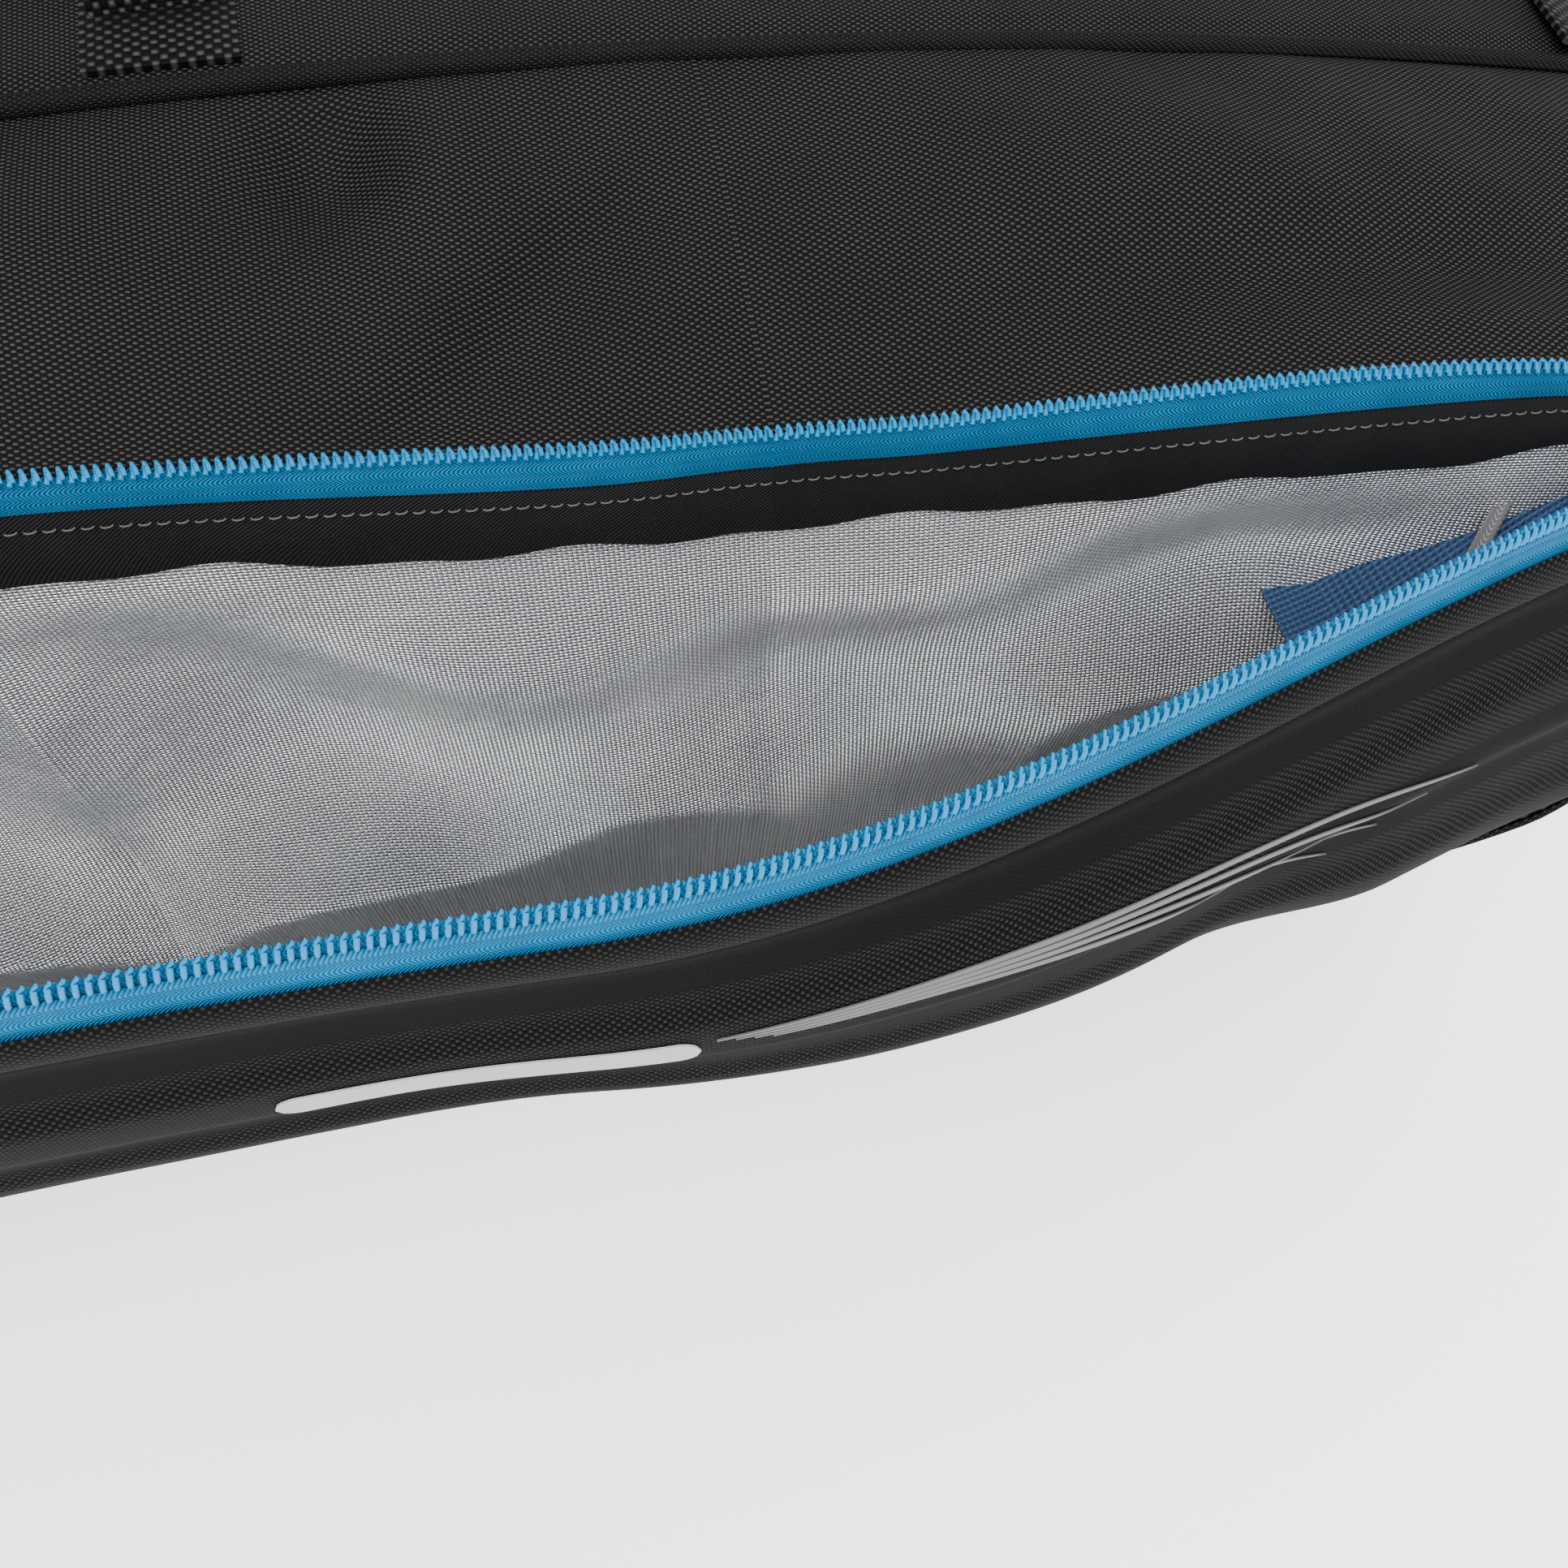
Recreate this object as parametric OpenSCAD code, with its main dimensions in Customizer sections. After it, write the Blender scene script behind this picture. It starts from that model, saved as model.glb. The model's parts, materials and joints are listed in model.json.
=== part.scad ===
// Three-compartment racket bag, front compartment open.
// X runs along the bag, -Y is the open front, Z is up, the origin is on the floor under the middle.

/* [Bag] */
// Overall length of the fabric body
bag_length = 800; // [760:5:840]
// Height of the crown of the top arch above the floor
crown_height = 342; // [325:1:360]
// Radius of the top arch, seen from the front
arch_radius = 1540; // [1300:20:1800]
// Radius of the upper corners of the outline
upper_corner = 45; // [42:1:60]
// Radius of the lower corners of the outline
lower_corner = 110; // [80:1:130]
// Height of the rubber feet
foot_height = 5; // [3:1:8]
// Half of the distance between the two dividers
divider_y = 52; // [48:1:56]
// Thickness of the gusset cloth with its foam
gusset_wall = 3; // [2.5:0.5:3.5]

/* [Front compartment] */
// How far the front panel stands open
open_angle = 17; // [12:0.2:19]
// How far the loose top of the gusset hangs down from its closed place
flap_angle = 27.5; // [18:0.5:30]
// Half of the width of the base, where the panels are hinged
base_half = 105; // [101:1:109]
// Height of the hinge line of a panel
hinge_height = 30; // [26:1:34]
// Outward lean of the lower part of a panel
panel_lean = 15; // [12:0.5:16]
// Radius of the rounded shoulder of a panel
shoulder_radius = 153; // [145:1:165]
// Thickness of a moulded panel
panel_wall = 5; // [4:0.5:6]
// Middle of a closed zip chain, from the middle of the bag
chain_y = 130; // [128:0.5:132]
// Half of the length of the parts that follow the arch
flap_reach = 345; // [310:1:348]

/* [Handles] */
// Distance between the middles of a carry handle's feet
handle_span = 116; // [100:2:130]
// Height of a carry handle above the crown
handle_height = 88; // [75:1:100]
// Width of the handle webbing
webbing_w = 24; // [20:1:26]
// Thickness of the handle webbing
webbing_t = 3; // [2:0.5:4]
// Lean of the front handle towards the middle at rest
handle_lean = 15; // [10:1:16]

/* [Straps] */
// Width of a shoulder strap's pad
pad_w = 66; // [55:1:72]
// Thickness of a shoulder strap's pad
pad_t = 10; // [8:0.5:12]
// Width of the strap webbing
strap_w = 38; // [30:1:40]

/* [Hidden] */
$fn = 48;
GAP = 0.3;
half = bag_length / 2;
arch_cz = crown_height - arch_radius;
corner_x = half - upper_corner;
corner_z = arch_cz + sqrt(pow(arch_radius - upper_corner, 2) - pow(corner_x, 2));
corner_a = atan(corner_x / (corner_z - arch_cz));
low_x = half - lower_corner;
low_z = foot_height + lower_corner;
lip_z = crown_height - 4;
shoulder_from = 122;
shoulder_to = 90 - panel_lean;
shoulder_len = shoulder_radius * (shoulder_from - shoulder_to) * PI / 180;
line_len = (lip_z - hinge_height - shoulder_radius * (cos(shoulder_to) - cos(shoulder_from))) / cos(panel_lean);
profile_len = shoulder_len + line_len;
flap_pivot_y = divider_y + 0.5;
flap_pivot_z = crown_height - 1;
coil_w = 3;
pull_len = 34;
chain_low = 150;
chain_high = 236;
chain_end_y = -98;
slider_z = 222;
rear_slider_a = 11;
centre_slider_a = 55;
foot_x = 220;
foot_y = 60;
chain_floor = 262;
handle_y = 34;
strap_upper_z = 150;
strap_lower_z = 60;
ring_x = 330;
ring_z = 170;
end_handle_z = 170;
end_handle_span = 120;

// ---- Outline of the bag, seen from the front -----------------------------------------------

function arc(cx, cz, r, from, to, n) =
    [for (i = [0:n]) let (a = from + (to - from) * i / n) [cx + r * cos(a), cz + r * sin(a)]];

// Half of the outline, from the middle of the base round the right end to the crown.
function right_half(in) = concat(
    [[0, foot_height + in]],
    arc(low_x, low_z, lower_corner - in, -90, 0, 9),
    arc(corner_x, corner_z, upper_corner - in, 0, 90 - corner_a, 7),
    arc(0, arch_cz, arch_radius - in, 90 - corner_a, 90, 8));

function outline(in) = let (r = right_half(in), n = len(r))
    concat(r, [for (i = [n - 2:-1:1]) [-r[i][0], r[i][1]]]);

module slab(y0, y1, in) {
    translate([0, y1, 0]) rotate([90, 0, 0]) linear_extrude(y1 - y0) polygon(outline(in));
}

module ring(y0, y1, outer, inner) {
    translate([0, y1, 0]) rotate([90, 0, 0]) linear_extrude(y1 - y0)
        difference() {
            polygon(outline(outer));
            polygon(outline(inner));
        }
}

// The part of a ring that follows the top arch only.
module arch_band(y0, y1, outer, inner, reach = flap_reach) {
    intersection() {
        ring(y0, y1, outer, inner);
        translate([-reach, y0 - 1, chain_floor]) cube([2 * reach, y1 - y0 + 2, crown_height]);
    }
}

// ---- Cross-section of a panel, closed, on the -Y side ---------------------------------------

// A point of the panel's profile: s runs from the lip to the hinge, out is measured outwards.
function profile_angle(s) = shoulder_from - min(s, shoulder_len) / shoulder_radius * 180 / PI;
function profile_base(s) = let (a = profile_angle(s), l = max(0, s - shoulder_len))
    [shoulder_radius * (sin(shoulder_from) - sin(a)) + l * cos(a),
     lip_z - shoulder_radius * (cos(a) - cos(shoulder_from)) - l * sin(a)];
lip_y = -base_half - profile_base(profile_len)[0];
function profile(s, out) = let (a = profile_angle(s), p = profile_base(s))
    [lip_y + p[0] - out * sin(a), p[1] - out * cos(a)];
PROFILE_S = concat([-7], [for (i = [0:8]) shoulder_len * i / 8], [profile_len]);

module along_x(reach) {
    translate([-reach, 0, 0]) rotate([90, 0, 90]) linear_extrude(2 * reach) children();
}

module profile_shell(inner, outer, from = 0, to = 10) {
    pts = [for (i = [from:min(to, len(PROFILE_S) - 1)]) PROFILE_S[i]];
    along_x(half + 5) polygon(concat([for (s = pts) profile(s, outer)],
        [for (i = [len(pts) - 1:-1:0]) profile(pts[i], inner)]));
}

// All that lies behind the panel's inner face, up to the divider.
module behind_profile(clear) {
    along_x(half + 5) polygon(concat([for (s = PROFILE_S) profile(s, -panel_wall - clear)],
        [[-base_half + 2, hinge_height - 2], [-base_half + 2, 0], [-divider_y, 0],
         [-divider_y, crown_height + 20]]));
}

module opened() {
    translate([0, -base_half, hinge_height]) rotate([open_angle, 0, 0])
        translate([0, base_half, -hinge_height]) children();
}

module dropped() {
    translate([0, -flap_pivot_y, flap_pivot_z]) rotate([flap_angle, 0, 0])
        translate([0, flap_pivot_y, -flap_pivot_z]) children();
}

// A point of the arch: local X runs along it and local Z stands on it.
module at_arch(a) {
    translate([0, 0, arch_cz]) rotate([0, a, 0]) translate([0, 0, arch_radius]) children();
}

// A point of the right upper corner, a degrees from its top.
module at_corner(a) {
    translate([corner_x, 0, corner_z]) rotate([0, a, 0]) translate([0, 0, upper_corner]) children();
}

// The straight part of the rear panel: local Y points outwards and local Z up the panel.
module on_rear() {
    translate([0, base_half, hinge_height]) rotate([-panel_lean, 0, 0]) children();
}

module rounded_bar(l, w, t, r) {
    linear_extrude(t) union() {
        square([l - 2 * r, w], center = true);
        square([l, w - 2 * r], center = true);
        for (sx = [-1, 1], sy = [-1, 1])
            translate([sx * (l / 2 - r), sy * (w / 2 - r)]) circle(r);
    }
}

// ---- Body ------------------------------------------------------------------------------------

module base_panel() {
    color("#1c1c1f") translate([-low_x + 4, -divider_y + 1, foot_height + gusset_wall + GAP])
        cube([2 * low_x - 8, 2 * divider_y - 2, 2]);
}

module base_board() {
    color("#2a2a2d") translate([-low_x + 14, -divider_y + 4, foot_height + gusset_wall + 3])
        cube([2 * low_x - 28, 2 * divider_y - 8, 4]);
}

module foot(sx, sy) {
    color("#141416") translate([sx * foot_x, sy * foot_y, 0])
        cylinder(h = foot_height - GAP, r1 = 11, r2 = 14);
}

module divider(s) {
    color("#202023") slab(s > 0 ? divider_y : -divider_y - 1.5, s > 0 ? divider_y + 1.5 : -divider_y,
        gusset_wall + GAP);
}

module centre_gusset() {
    color("#1c1c1f") ring(-divider_y + GAP, divider_y - GAP, 0, gusset_wall);
}

module centre_chain() {
    color("#00a0d7") union() {
        arch_band(-12, 12, -1.3, -GAP, half + 5);
        arch_band(-coil_w, coil_w, -2.8, -1.3, half + 5);
    }
}

// The ring of one outer compartment, with the low wall that stands under the panel's hinge.
module outer_ring() {
    union() {
        intersection() {
            ring(-160, -divider_y, 0, gusset_wall);
            behind_profile(1.2);
        }
        intersection() {
            slab(-base_half + 2, -base_half + 5, 0);
            translate([-half, -base_half, 0]) cube([2 * half, base_half, hinge_height - 2]);
        }
    }
}

module front_gusset() {
    color("#1c1c1f") difference() {
        outer_ring();
        translate([-flap_reach - 6, -170, crown_height / 2])
            cube([2 * flap_reach + 12, 170 - divider_y - 22, crown_height]);
    }
}

module front_lining() {
    color("#bfc3c7") slab(-divider_y - 3.3, -divider_y - 1.5 - GAP, gusset_wall + GAP);
}

module rear_gusset() {
    color("#1c1c1f") mirror([0, 1, 0]) outer_ring();
}

module panel_solid(in) {
    intersection() {
        profile_shell(-panel_wall, 0);
        slab(-200, 0, in);
    }
}

module rear_panel() {
    color("#232326") mirror([0, 1, 0]) panel_solid(2);
}

module hem_solid() {
    intersection() {
        profile_shell(GAP, 3.3);
        ring(-200, 0, 2, 11);
        translate([-half, -200, corner_z]) cube([2 * half, 200, 200]);
    }
}

module rear_hem() {
    color("#1a1a1c") mirror([0, 1, 0]) hem_solid();
}

module rear_chain() {
    color("#00a0d7") union() {
        arch_band(chain_y - 11, chain_y + 10, -1.3, -GAP, half + 5);
        arch_band(chain_y - coil_w, chain_y + coil_w, -2.8, -1.3, half + 5);
    }
}

module end_chain(s) {
    color("#00a0d7") union() {
        translate([s > 0 ? half + GAP : -half - GAP - 1, chain_end_y - 6, chain_low])
            cube([1, 12, chain_high - chain_low]);
        translate([s > 0 ? half + GAP + 1 : -half - GAP - 2.2, chain_end_y - 3, chain_low])
            cube([1.2, 6, chain_high - chain_low]);
    }
}

// A short webbing tab over the seam between two compartments.
module zip_tab() {
    color("#18181a") at_corner(24) translate([0, -37, 1.8]) rounded_bar(22, 26, 1.6, 3);
}

module mesh_pocket() {
    color("#12305a") translate([half - gusset_wall - 3.2, -98, 120]) cube([2.5, 40, 104]);
}

module ribbon(z) {
    color("#3a3a3e") translate([half - gusset_wall - 9.5, -98, z]) rotate([-28, 0, 0])
        cube([1.2, 42, 10]);
}

module anchor(sx, sy) {
    color("#18181a") at_arch(sx * handle_span / 2 / arch_radius * 180 / PI)
        translate([0, sy * handle_y, GAP]) rounded_bar(webbing_w + 6, 26, 1.5, 3);
}

module end_patch(z) {
    color("#18181a") translate([half + GAP, -webbing_w / 2, z]) cube([1.6, webbing_w, 28]);
}

module strap_pad(z) {
    color("#1d1d20") on_rear() translate([-95, 4 + pad_t, z]) rotate([90, 0, 0])
        rounded_bar(330, pad_w, pad_t, 24);
}

module strap_webbing(z) {
    color("#161618") on_rear() union() {
        translate([70.5, 4, z - strap_w / 2]) cube([205, 2, strap_w]);
        translate([255, 0.5, z - strap_w / 2 - 3]) cube([24, 3.6, strap_w + 6]);
    }
}

module ring_tab(s) {
    color("#18181a") on_rear() translate([s * ring_x - 9, 0.5, ring_z - 4]) cube([18, 1.9, 16]);
}

// ---- Swinging front panel ----------------------------------------------------------------------

module front_panel() {
    color("#232326") opened() panel_solid(2);
}

module panel_lining() {
    color("#bfc3c7") opened() intersection() {
        profile_shell(-panel_wall - 1.1, -panel_wall - GAP / 2, 1, 10);
        slab(-200, 0, 14);
        translate([-half, -200, hinge_height + 12]) cube([2 * half, 200, 400]);
    }
}

module front_hem() {
    color("#1a1a1c") opened() hem_solid();
}

module panel_tape() {
    color("#00a0d7") opened() intersection() {
        arch_band(-chain_y - 40, -chain_y - coil_w - GAP, 0.4, 1.6);
        behind_profile(-panel_wall);
    }
}

module panel_coil() {
    color("#12b4ea") opened() arch_band(-chain_y - coil_w, -chain_y - GAP, -0.8, 1.6);
}

// ---- Gusset flap behind the mouth ---------------------------------------------------------------

module flap_fabric() {
    color("#1c1c1f") dropped() arch_band(-chain_y + 12, -divider_y - 28, 0, 1.8);
}

module flap_binding() {
    color("#101012") dropped() arch_band(-chain_y + 5, -chain_y + 19, 2.1, 3.3);
}

module flap_tape() {
    color("#00a0d7") dropped() arch_band(-chain_y + coil_w + GAP, -chain_y + 12 - GAP, 0.4, 1.6);
}

module flap_coil() {
    color("#12b4ea") dropped() arch_band(-chain_y + GAP, -chain_y + coil_w, -0.8, 1.6);
}

// ---- Sliders and pulls ---------------------------------------------------------------------------

module slider_solid() {
    linear_extrude(3) difference() {
        union() {
            square([10, 10], center = true);
            translate([5, 0]) circle(5);
        }
        translate([6, 0]) circle(1.6);
    }
}

module pull_solid() {
    linear_extrude(1.6) difference() {
        union() {
            translate([pull_len / 2, 0]) square([pull_len - 8, 8], center = true);
            translate([4, 0]) circle(2.4);
            translate([pull_len - 4, 0]) circle(4);
        }
        translate([4, 0]) circle(1);
    }
}

// Puts a slider's plane on the right end of the bag, with its pull hanging down.
module on_end() {
    translate([half + 2.9, chain_end_y, slider_z]) rotate([0, 90, 0]) children();
}

module end_slider_right() {
    color("#0a93c4") on_end() slider_solid();
}

module end_pull_right() {
    color("#c9ccd0") on_end() translate([2, 0, 4.9]) pull_solid();
}

module end_slider_left() {
    mirror([1, 0, 0]) end_slider_right();
}

module end_pull_left() {
    mirror([1, 0, 0]) end_pull_right();
}

// A slider lying on a chain, and its pull, which points back to the middle of the bag.
module lying_slider() {
    translate([0, 0, 3.3]) mirror([1, 0, 0]) slider_solid();
}

module lying_pull() {
    translate([-2, 0, 8.2]) mirror([1, 0, 0]) pull_solid();
}

module centre_slider() {
    color("#0a93c4") at_corner(centre_slider_a) lying_slider();
}

module centre_pull() {
    color("#c9ccd0") at_corner(centre_slider_a) lying_pull();
}

module rear_slider() {
    color("#0a93c4") at_arch(rear_slider_a) translate([0, chain_y, 0]) lying_slider();
}

module rear_pull() {
    color("#c9ccd0") at_arch(rear_slider_a) translate([0, chain_y, 0]) lying_pull();
}

// ---- Handles, adjusters and rings -------------------------------------------------------------------

// A flat loop of webbing standing on the XY plane: span is between the middles of its feet.
module webbing_loop(span, height, w, t) {
    outer_r = w + 8;
    inner_r = 8;
    reach = span / 2 + w / 2;
    clear = span / 2 - w / 2;
    translate([0, t / 2, 0]) rotate([90, 0, 0]) linear_extrude(t) difference() {
        union() {
            translate([-reach, 0]) square([2 * reach, height - outer_r]);
            translate([-reach + outer_r, 0]) square([2 * (reach - outer_r), height]);
            for (s = [-1, 1]) intersection() {
                translate([s * (reach - outer_r), height - outer_r]) circle(outer_r);
                translate([-reach, 0]) square([2 * reach, height]);
            }
        }
        union() {
            translate([-clear, -1]) square([2 * clear, height - w - inner_r + 1]);
            translate([-clear + inner_r, -1]) square([2 * (clear - inner_r), height - w + 1]);
            for (s = [-1, 1]) translate([s * (clear - inner_r), height - w - inner_r]) circle(inner_r);
        }
    }
}

module carry_pose(sy) {
    translate([0, sy * handle_y, crown_height + 3.6]) rotate([sy * handle_lean, 0, 0]) children();
}

module handle_front() {
    color("#161618") carry_pose(-1) webbing_loop(handle_span, handle_height, webbing_w, webbing_t);
}

module handle_wrap() {
    color("#202024") carry_pose(-1) translate([0, 0, handle_height - webbing_w / 2]) difference() {
        translate([-30, -5.5, -webbing_w / 2 - 4]) cube([60, 11, webbing_w + 8]);
        translate([-31, -webbing_t / 2 - GAP, -webbing_w / 2 - GAP])
            cube([62, webbing_t + 2 * GAP, webbing_w + 2 * GAP]);
    }
}

module handle_rear() {
    color("#161618") carry_pose(1) webbing_loop(handle_span, handle_height, webbing_w, webbing_t);
}

module end_handle() {
    color("#161618") translate([half + 4, 0, end_handle_z]) rotate([0, 90, 0])
        webbing_loop(end_handle_span, 46, webbing_w, webbing_t);
}

module adjuster(z) {
    color("#0e0e10") on_rear() difference() {
        translate([110, 1.2, z - strap_w / 2 - 5]) cube([26, 8, strap_w + 10]);
        translate([109, 4 - GAP, z - strap_w / 2 - GAP]) cube([28, 2 + 2 * GAP, strap_w + 2 * GAP]);
    }
}

module d_ring(s) {
    color("#8f9296") on_rear() translate([s * ring_x, 5, ring_z]) rotate([panel_lean, 0, 0])
        translate([0, 1.5, -13.25]) rotate([90, 0, 0]) linear_extrude(3) difference() {
            circle(15);
            circle(11.5);
        }
}

base_panel();
base_board();
foot(-1, -1);  // foot_front_left
foot(1, -1);  // foot_front_right
foot(-1, 1);  // foot_rear_left
foot(1, 1);  // foot_rear_right
foot(0, 0);  // foot_middle
divider(-1);  // divider_front
divider(1);  // divider_rear
centre_gusset();
centre_chain();
front_gusset();
front_lining();
rear_gusset();
rear_panel();
rear_hem();
rear_chain();
end_chain(1);  // end_chain_right
end_chain(-1);  // end_chain_left
zip_tab();  // zip_tab_right
mesh_pocket();
ribbon(196);  // ribbon_upper
ribbon(168);  // ribbon_lower
anchor(-1, -1);  // anchor_front_left
anchor(1, -1);  // anchor_front_right
anchor(-1, 1);  // anchor_rear_left
anchor(1, 1);  // anchor_rear_right
end_patch(end_handle_z + end_handle_span / 2 - 14);  // end_patch_upper
end_patch(end_handle_z - end_handle_span / 2 - 14);  // end_patch_lower
strap_pad(strap_upper_z);  // strap_pad_upper
strap_pad(strap_lower_z);  // strap_pad_lower
strap_webbing(strap_upper_z);  // strap_webbing_upper
strap_webbing(strap_lower_z);  // strap_webbing_lower
ring_tab(-1);  // ring_tab_left
ring_tab(1);  // ring_tab_right
front_panel();
panel_lining();
front_hem();
panel_tape();
panel_coil();
flap_fabric();
flap_binding();
flap_tape();
flap_coil();
end_slider_right();  // front_slider_right
end_pull_right();  // front_pull_right
end_slider_left();  // front_slider_left
end_pull_left();  // front_pull_left
centre_slider();
centre_pull();
rear_slider();
rear_pull();
handle_front();
handle_wrap();
handle_rear();
end_handle();
adjuster(strap_upper_z);  // adjuster_upper
adjuster(strap_lower_z);  // adjuster_lower
d_ring(-1);  // ring_left
d_ring(1);  // ring_right
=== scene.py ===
"""Visual model of a three-compartment racket bag with its front compartment open."""
import json
import logging
import math
from dataclasses import dataclass, field
from enum import Enum
from functools import lru_cache
from typing import Callable, Optional, Sequence

import bpy
import numpy as np
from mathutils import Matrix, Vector

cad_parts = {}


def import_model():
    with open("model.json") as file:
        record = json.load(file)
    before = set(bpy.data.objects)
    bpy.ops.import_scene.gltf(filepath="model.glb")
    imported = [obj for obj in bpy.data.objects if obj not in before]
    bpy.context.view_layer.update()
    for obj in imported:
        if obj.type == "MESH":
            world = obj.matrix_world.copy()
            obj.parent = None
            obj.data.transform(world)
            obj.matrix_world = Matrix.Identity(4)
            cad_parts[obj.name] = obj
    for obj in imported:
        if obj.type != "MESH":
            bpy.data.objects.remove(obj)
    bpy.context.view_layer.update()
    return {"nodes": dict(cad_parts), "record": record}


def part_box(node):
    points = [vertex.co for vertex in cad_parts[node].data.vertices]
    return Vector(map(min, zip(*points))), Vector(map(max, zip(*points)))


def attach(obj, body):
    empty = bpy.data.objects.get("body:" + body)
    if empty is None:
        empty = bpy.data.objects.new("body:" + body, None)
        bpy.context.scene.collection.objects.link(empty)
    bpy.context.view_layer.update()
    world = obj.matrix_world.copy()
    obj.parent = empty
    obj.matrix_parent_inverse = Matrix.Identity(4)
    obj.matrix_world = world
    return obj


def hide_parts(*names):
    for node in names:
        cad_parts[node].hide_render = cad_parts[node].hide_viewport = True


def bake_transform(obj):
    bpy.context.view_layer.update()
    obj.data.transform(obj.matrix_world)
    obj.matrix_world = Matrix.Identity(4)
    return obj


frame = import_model()
LOG = logging.getLogger("bag")
MM = 0.001
Place = Callable[[float, float], tuple[float, float, float]]


class Side(Enum):
    """The two ends of the bag."""

    LEFT = -1
    RIGHT = 1


# ---- Shape of the bag -----------------------------------------------------------------------


def smooth(t: float) -> float:
    """Return the smooth step of t, held between 0 and 1."""
    t = min(1.0, max(0.0, t))
    return t * t * (3.0 - 2.0 * t)


def bump_at(v: float, centre: float, width: float) -> float:
    """Return a bell of height 1 at centre with the given half width."""
    return math.exp(-((v - centre) / width) ** 2)


def turned(y: float, z: float, pivot: tuple[float, float], deg: float) -> tuple[float, float]:
    """Turn a point of a cross-section about a pivot.

    Args:
        y: place across the bag, mm.
        z: height, mm.
        pivot: the pivot's (y, z), mm.
        deg: angle about +X, degrees.

    Returns:
        The turned (y, z), mm.
    """
    a = math.radians(deg)
    dy, dz = y - pivot[0], z - pivot[1]
    return pivot[0] + dy * math.cos(a) - dz * math.sin(a), pivot[1] + dy * math.sin(a) + dz * math.cos(a)


@dataclass(frozen=True)
class Outline:
    """Outline of the bag seen from the front, in mm."""

    half: float
    crown: float
    foot: float = 5.0
    arch_r: float = 1540.0
    corner_r: float = 45.0
    low_r: float = 110.0

    @property
    def corner(self) -> tuple[float, float]:
        """Centre of the right upper corner."""
        x = self.half - self.corner_r
        reach = self.arch_r - self.corner_r
        return x, self.crown - self.arch_r + math.sqrt(reach * reach - x * x)

    def top(self, x: float, inset: float = 0.0) -> float:
        """Height of the outline's upper side at x, set in by inset."""
        x = abs(x)
        cx, cz = self.corner
        if x < cx * self.arch_r / (self.arch_r - self.corner_r):
            r = self.arch_r - inset
            return self.crown - self.arch_r + math.sqrt(r * r - x * x)
        r = self.corner_r - inset
        return cz + math.sqrt(max(0.0, r * r - (x - cx) ** 2))

    def bottom(self, x: float, inset: float = 0.0) -> float:
        """Height of the outline's lower side at x, set in by inset."""
        low_x = self.half - self.low_r
        x = abs(x)
        if x < low_x:
            return self.foot + inset
        r = self.low_r - inset
        return self.foot + self.low_r - math.sqrt(max(0.0, r * r - (x - low_x) ** 2))

    def loop(self, inset: float, count: int) -> list[tuple[float, float]]:
        """Return points evenly spaced round the outline.

        Args:
            inset: distance inwards from the outline, mm.
            count: number of steps round it.

        Returns:
            count + 1 points (x, z), the last equal to the first.
        """
        low_x = self.half - self.low_r
        cx, cz = self.corner
        turn = math.degrees(math.atan2(cx, cz - (self.crown - self.arch_r)))
        arcs = ((low_x, self.foot + self.low_r, self.low_r - inset, -90.0, 0.0, 40),
                (cx, cz, self.corner_r - inset, 0.0, 90.0 - turn, 30),
                (0.0, self.crown - self.arch_r, self.arch_r - inset, 90.0 - turn, 90.0, 60))
        right = [(0.0, self.foot + inset)]
        for ax, az, r, a0, a1, n in arcs:
            for i in range(n + 1):
                a = math.radians(a0 + (a1 - a0) * i / n)
                right.append((ax + r * math.cos(a), az + r * math.sin(a)))
        pts = np.array(right + [(-x, z) for x, z in reversed(right[:-1])])
        step = np.hypot(*np.diff(pts, axis=0).T)
        along = np.concatenate([[0.0], np.cumsum(step)])
        want = np.linspace(0.0, along[-1], count + 1)
        xs = np.interp(want, along, pts[:, 0])
        zs = np.interp(want, along, pts[:, 1])
        return list(zip(xs.tolist(), zs.tolist()))


@dataclass(frozen=True)
class PanelCurve:
    """Cross-section of a closed front panel; s runs from the lip to the hinge, in mm."""

    lip_z: float
    hinge: tuple[float, float]
    lean: float = 15.0
    first: float = 122.0
    radius: float = 153.0

    @property
    def arc_length(self) -> float:
        """Length of the rounded shoulder."""
        return self.radius * math.radians(self.first - 90.0 + self.lean)

    @property
    def length(self) -> float:
        """Length from the lip to the hinge."""
        drop = self.radius * (math.cos(math.radians(90.0 - self.lean)) - math.cos(math.radians(self.first)))
        return self.arc_length + (self.lip_z - self.hinge[1] - drop) / math.cos(math.radians(self.lean))

    def angle(self, s: float) -> float:
        """Direction of the curve at s, radians."""
        return math.radians(self.first) - min(s, self.arc_length) / self.radius

    def _raw(self, s: float) -> tuple[float, float]:
        """Place at s measured from the lip."""
        a = self.angle(s)
        first = math.radians(self.first)
        past = max(0.0, s - self.arc_length)
        return (self.radius * (math.sin(first) - math.sin(a)) + past * math.cos(a),
                self.lip_z - self.radius * (math.cos(a) - math.cos(first)) - past * math.sin(a))

    def at(self, s: float, out: float = 0.0) -> tuple[float, float]:
        """Return the point (y, z) at s, moved outwards by out."""
        a = self.angle(s)
        y, z = self._raw(s)
        start = self.hinge[0] - self._raw(self.length)[0]
        return start + y - out * math.sin(a), z - out * math.cos(a)

    def s_at(self, z: float) -> float:
        """Return s where the curve has height z."""
        low, high = -12.0, self.length + 40.0
        for _ in range(40):
            mid = (low + high) / 2
            if self._raw(mid)[1] > z:
                low = mid
            else:
                high = mid
        return low


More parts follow.
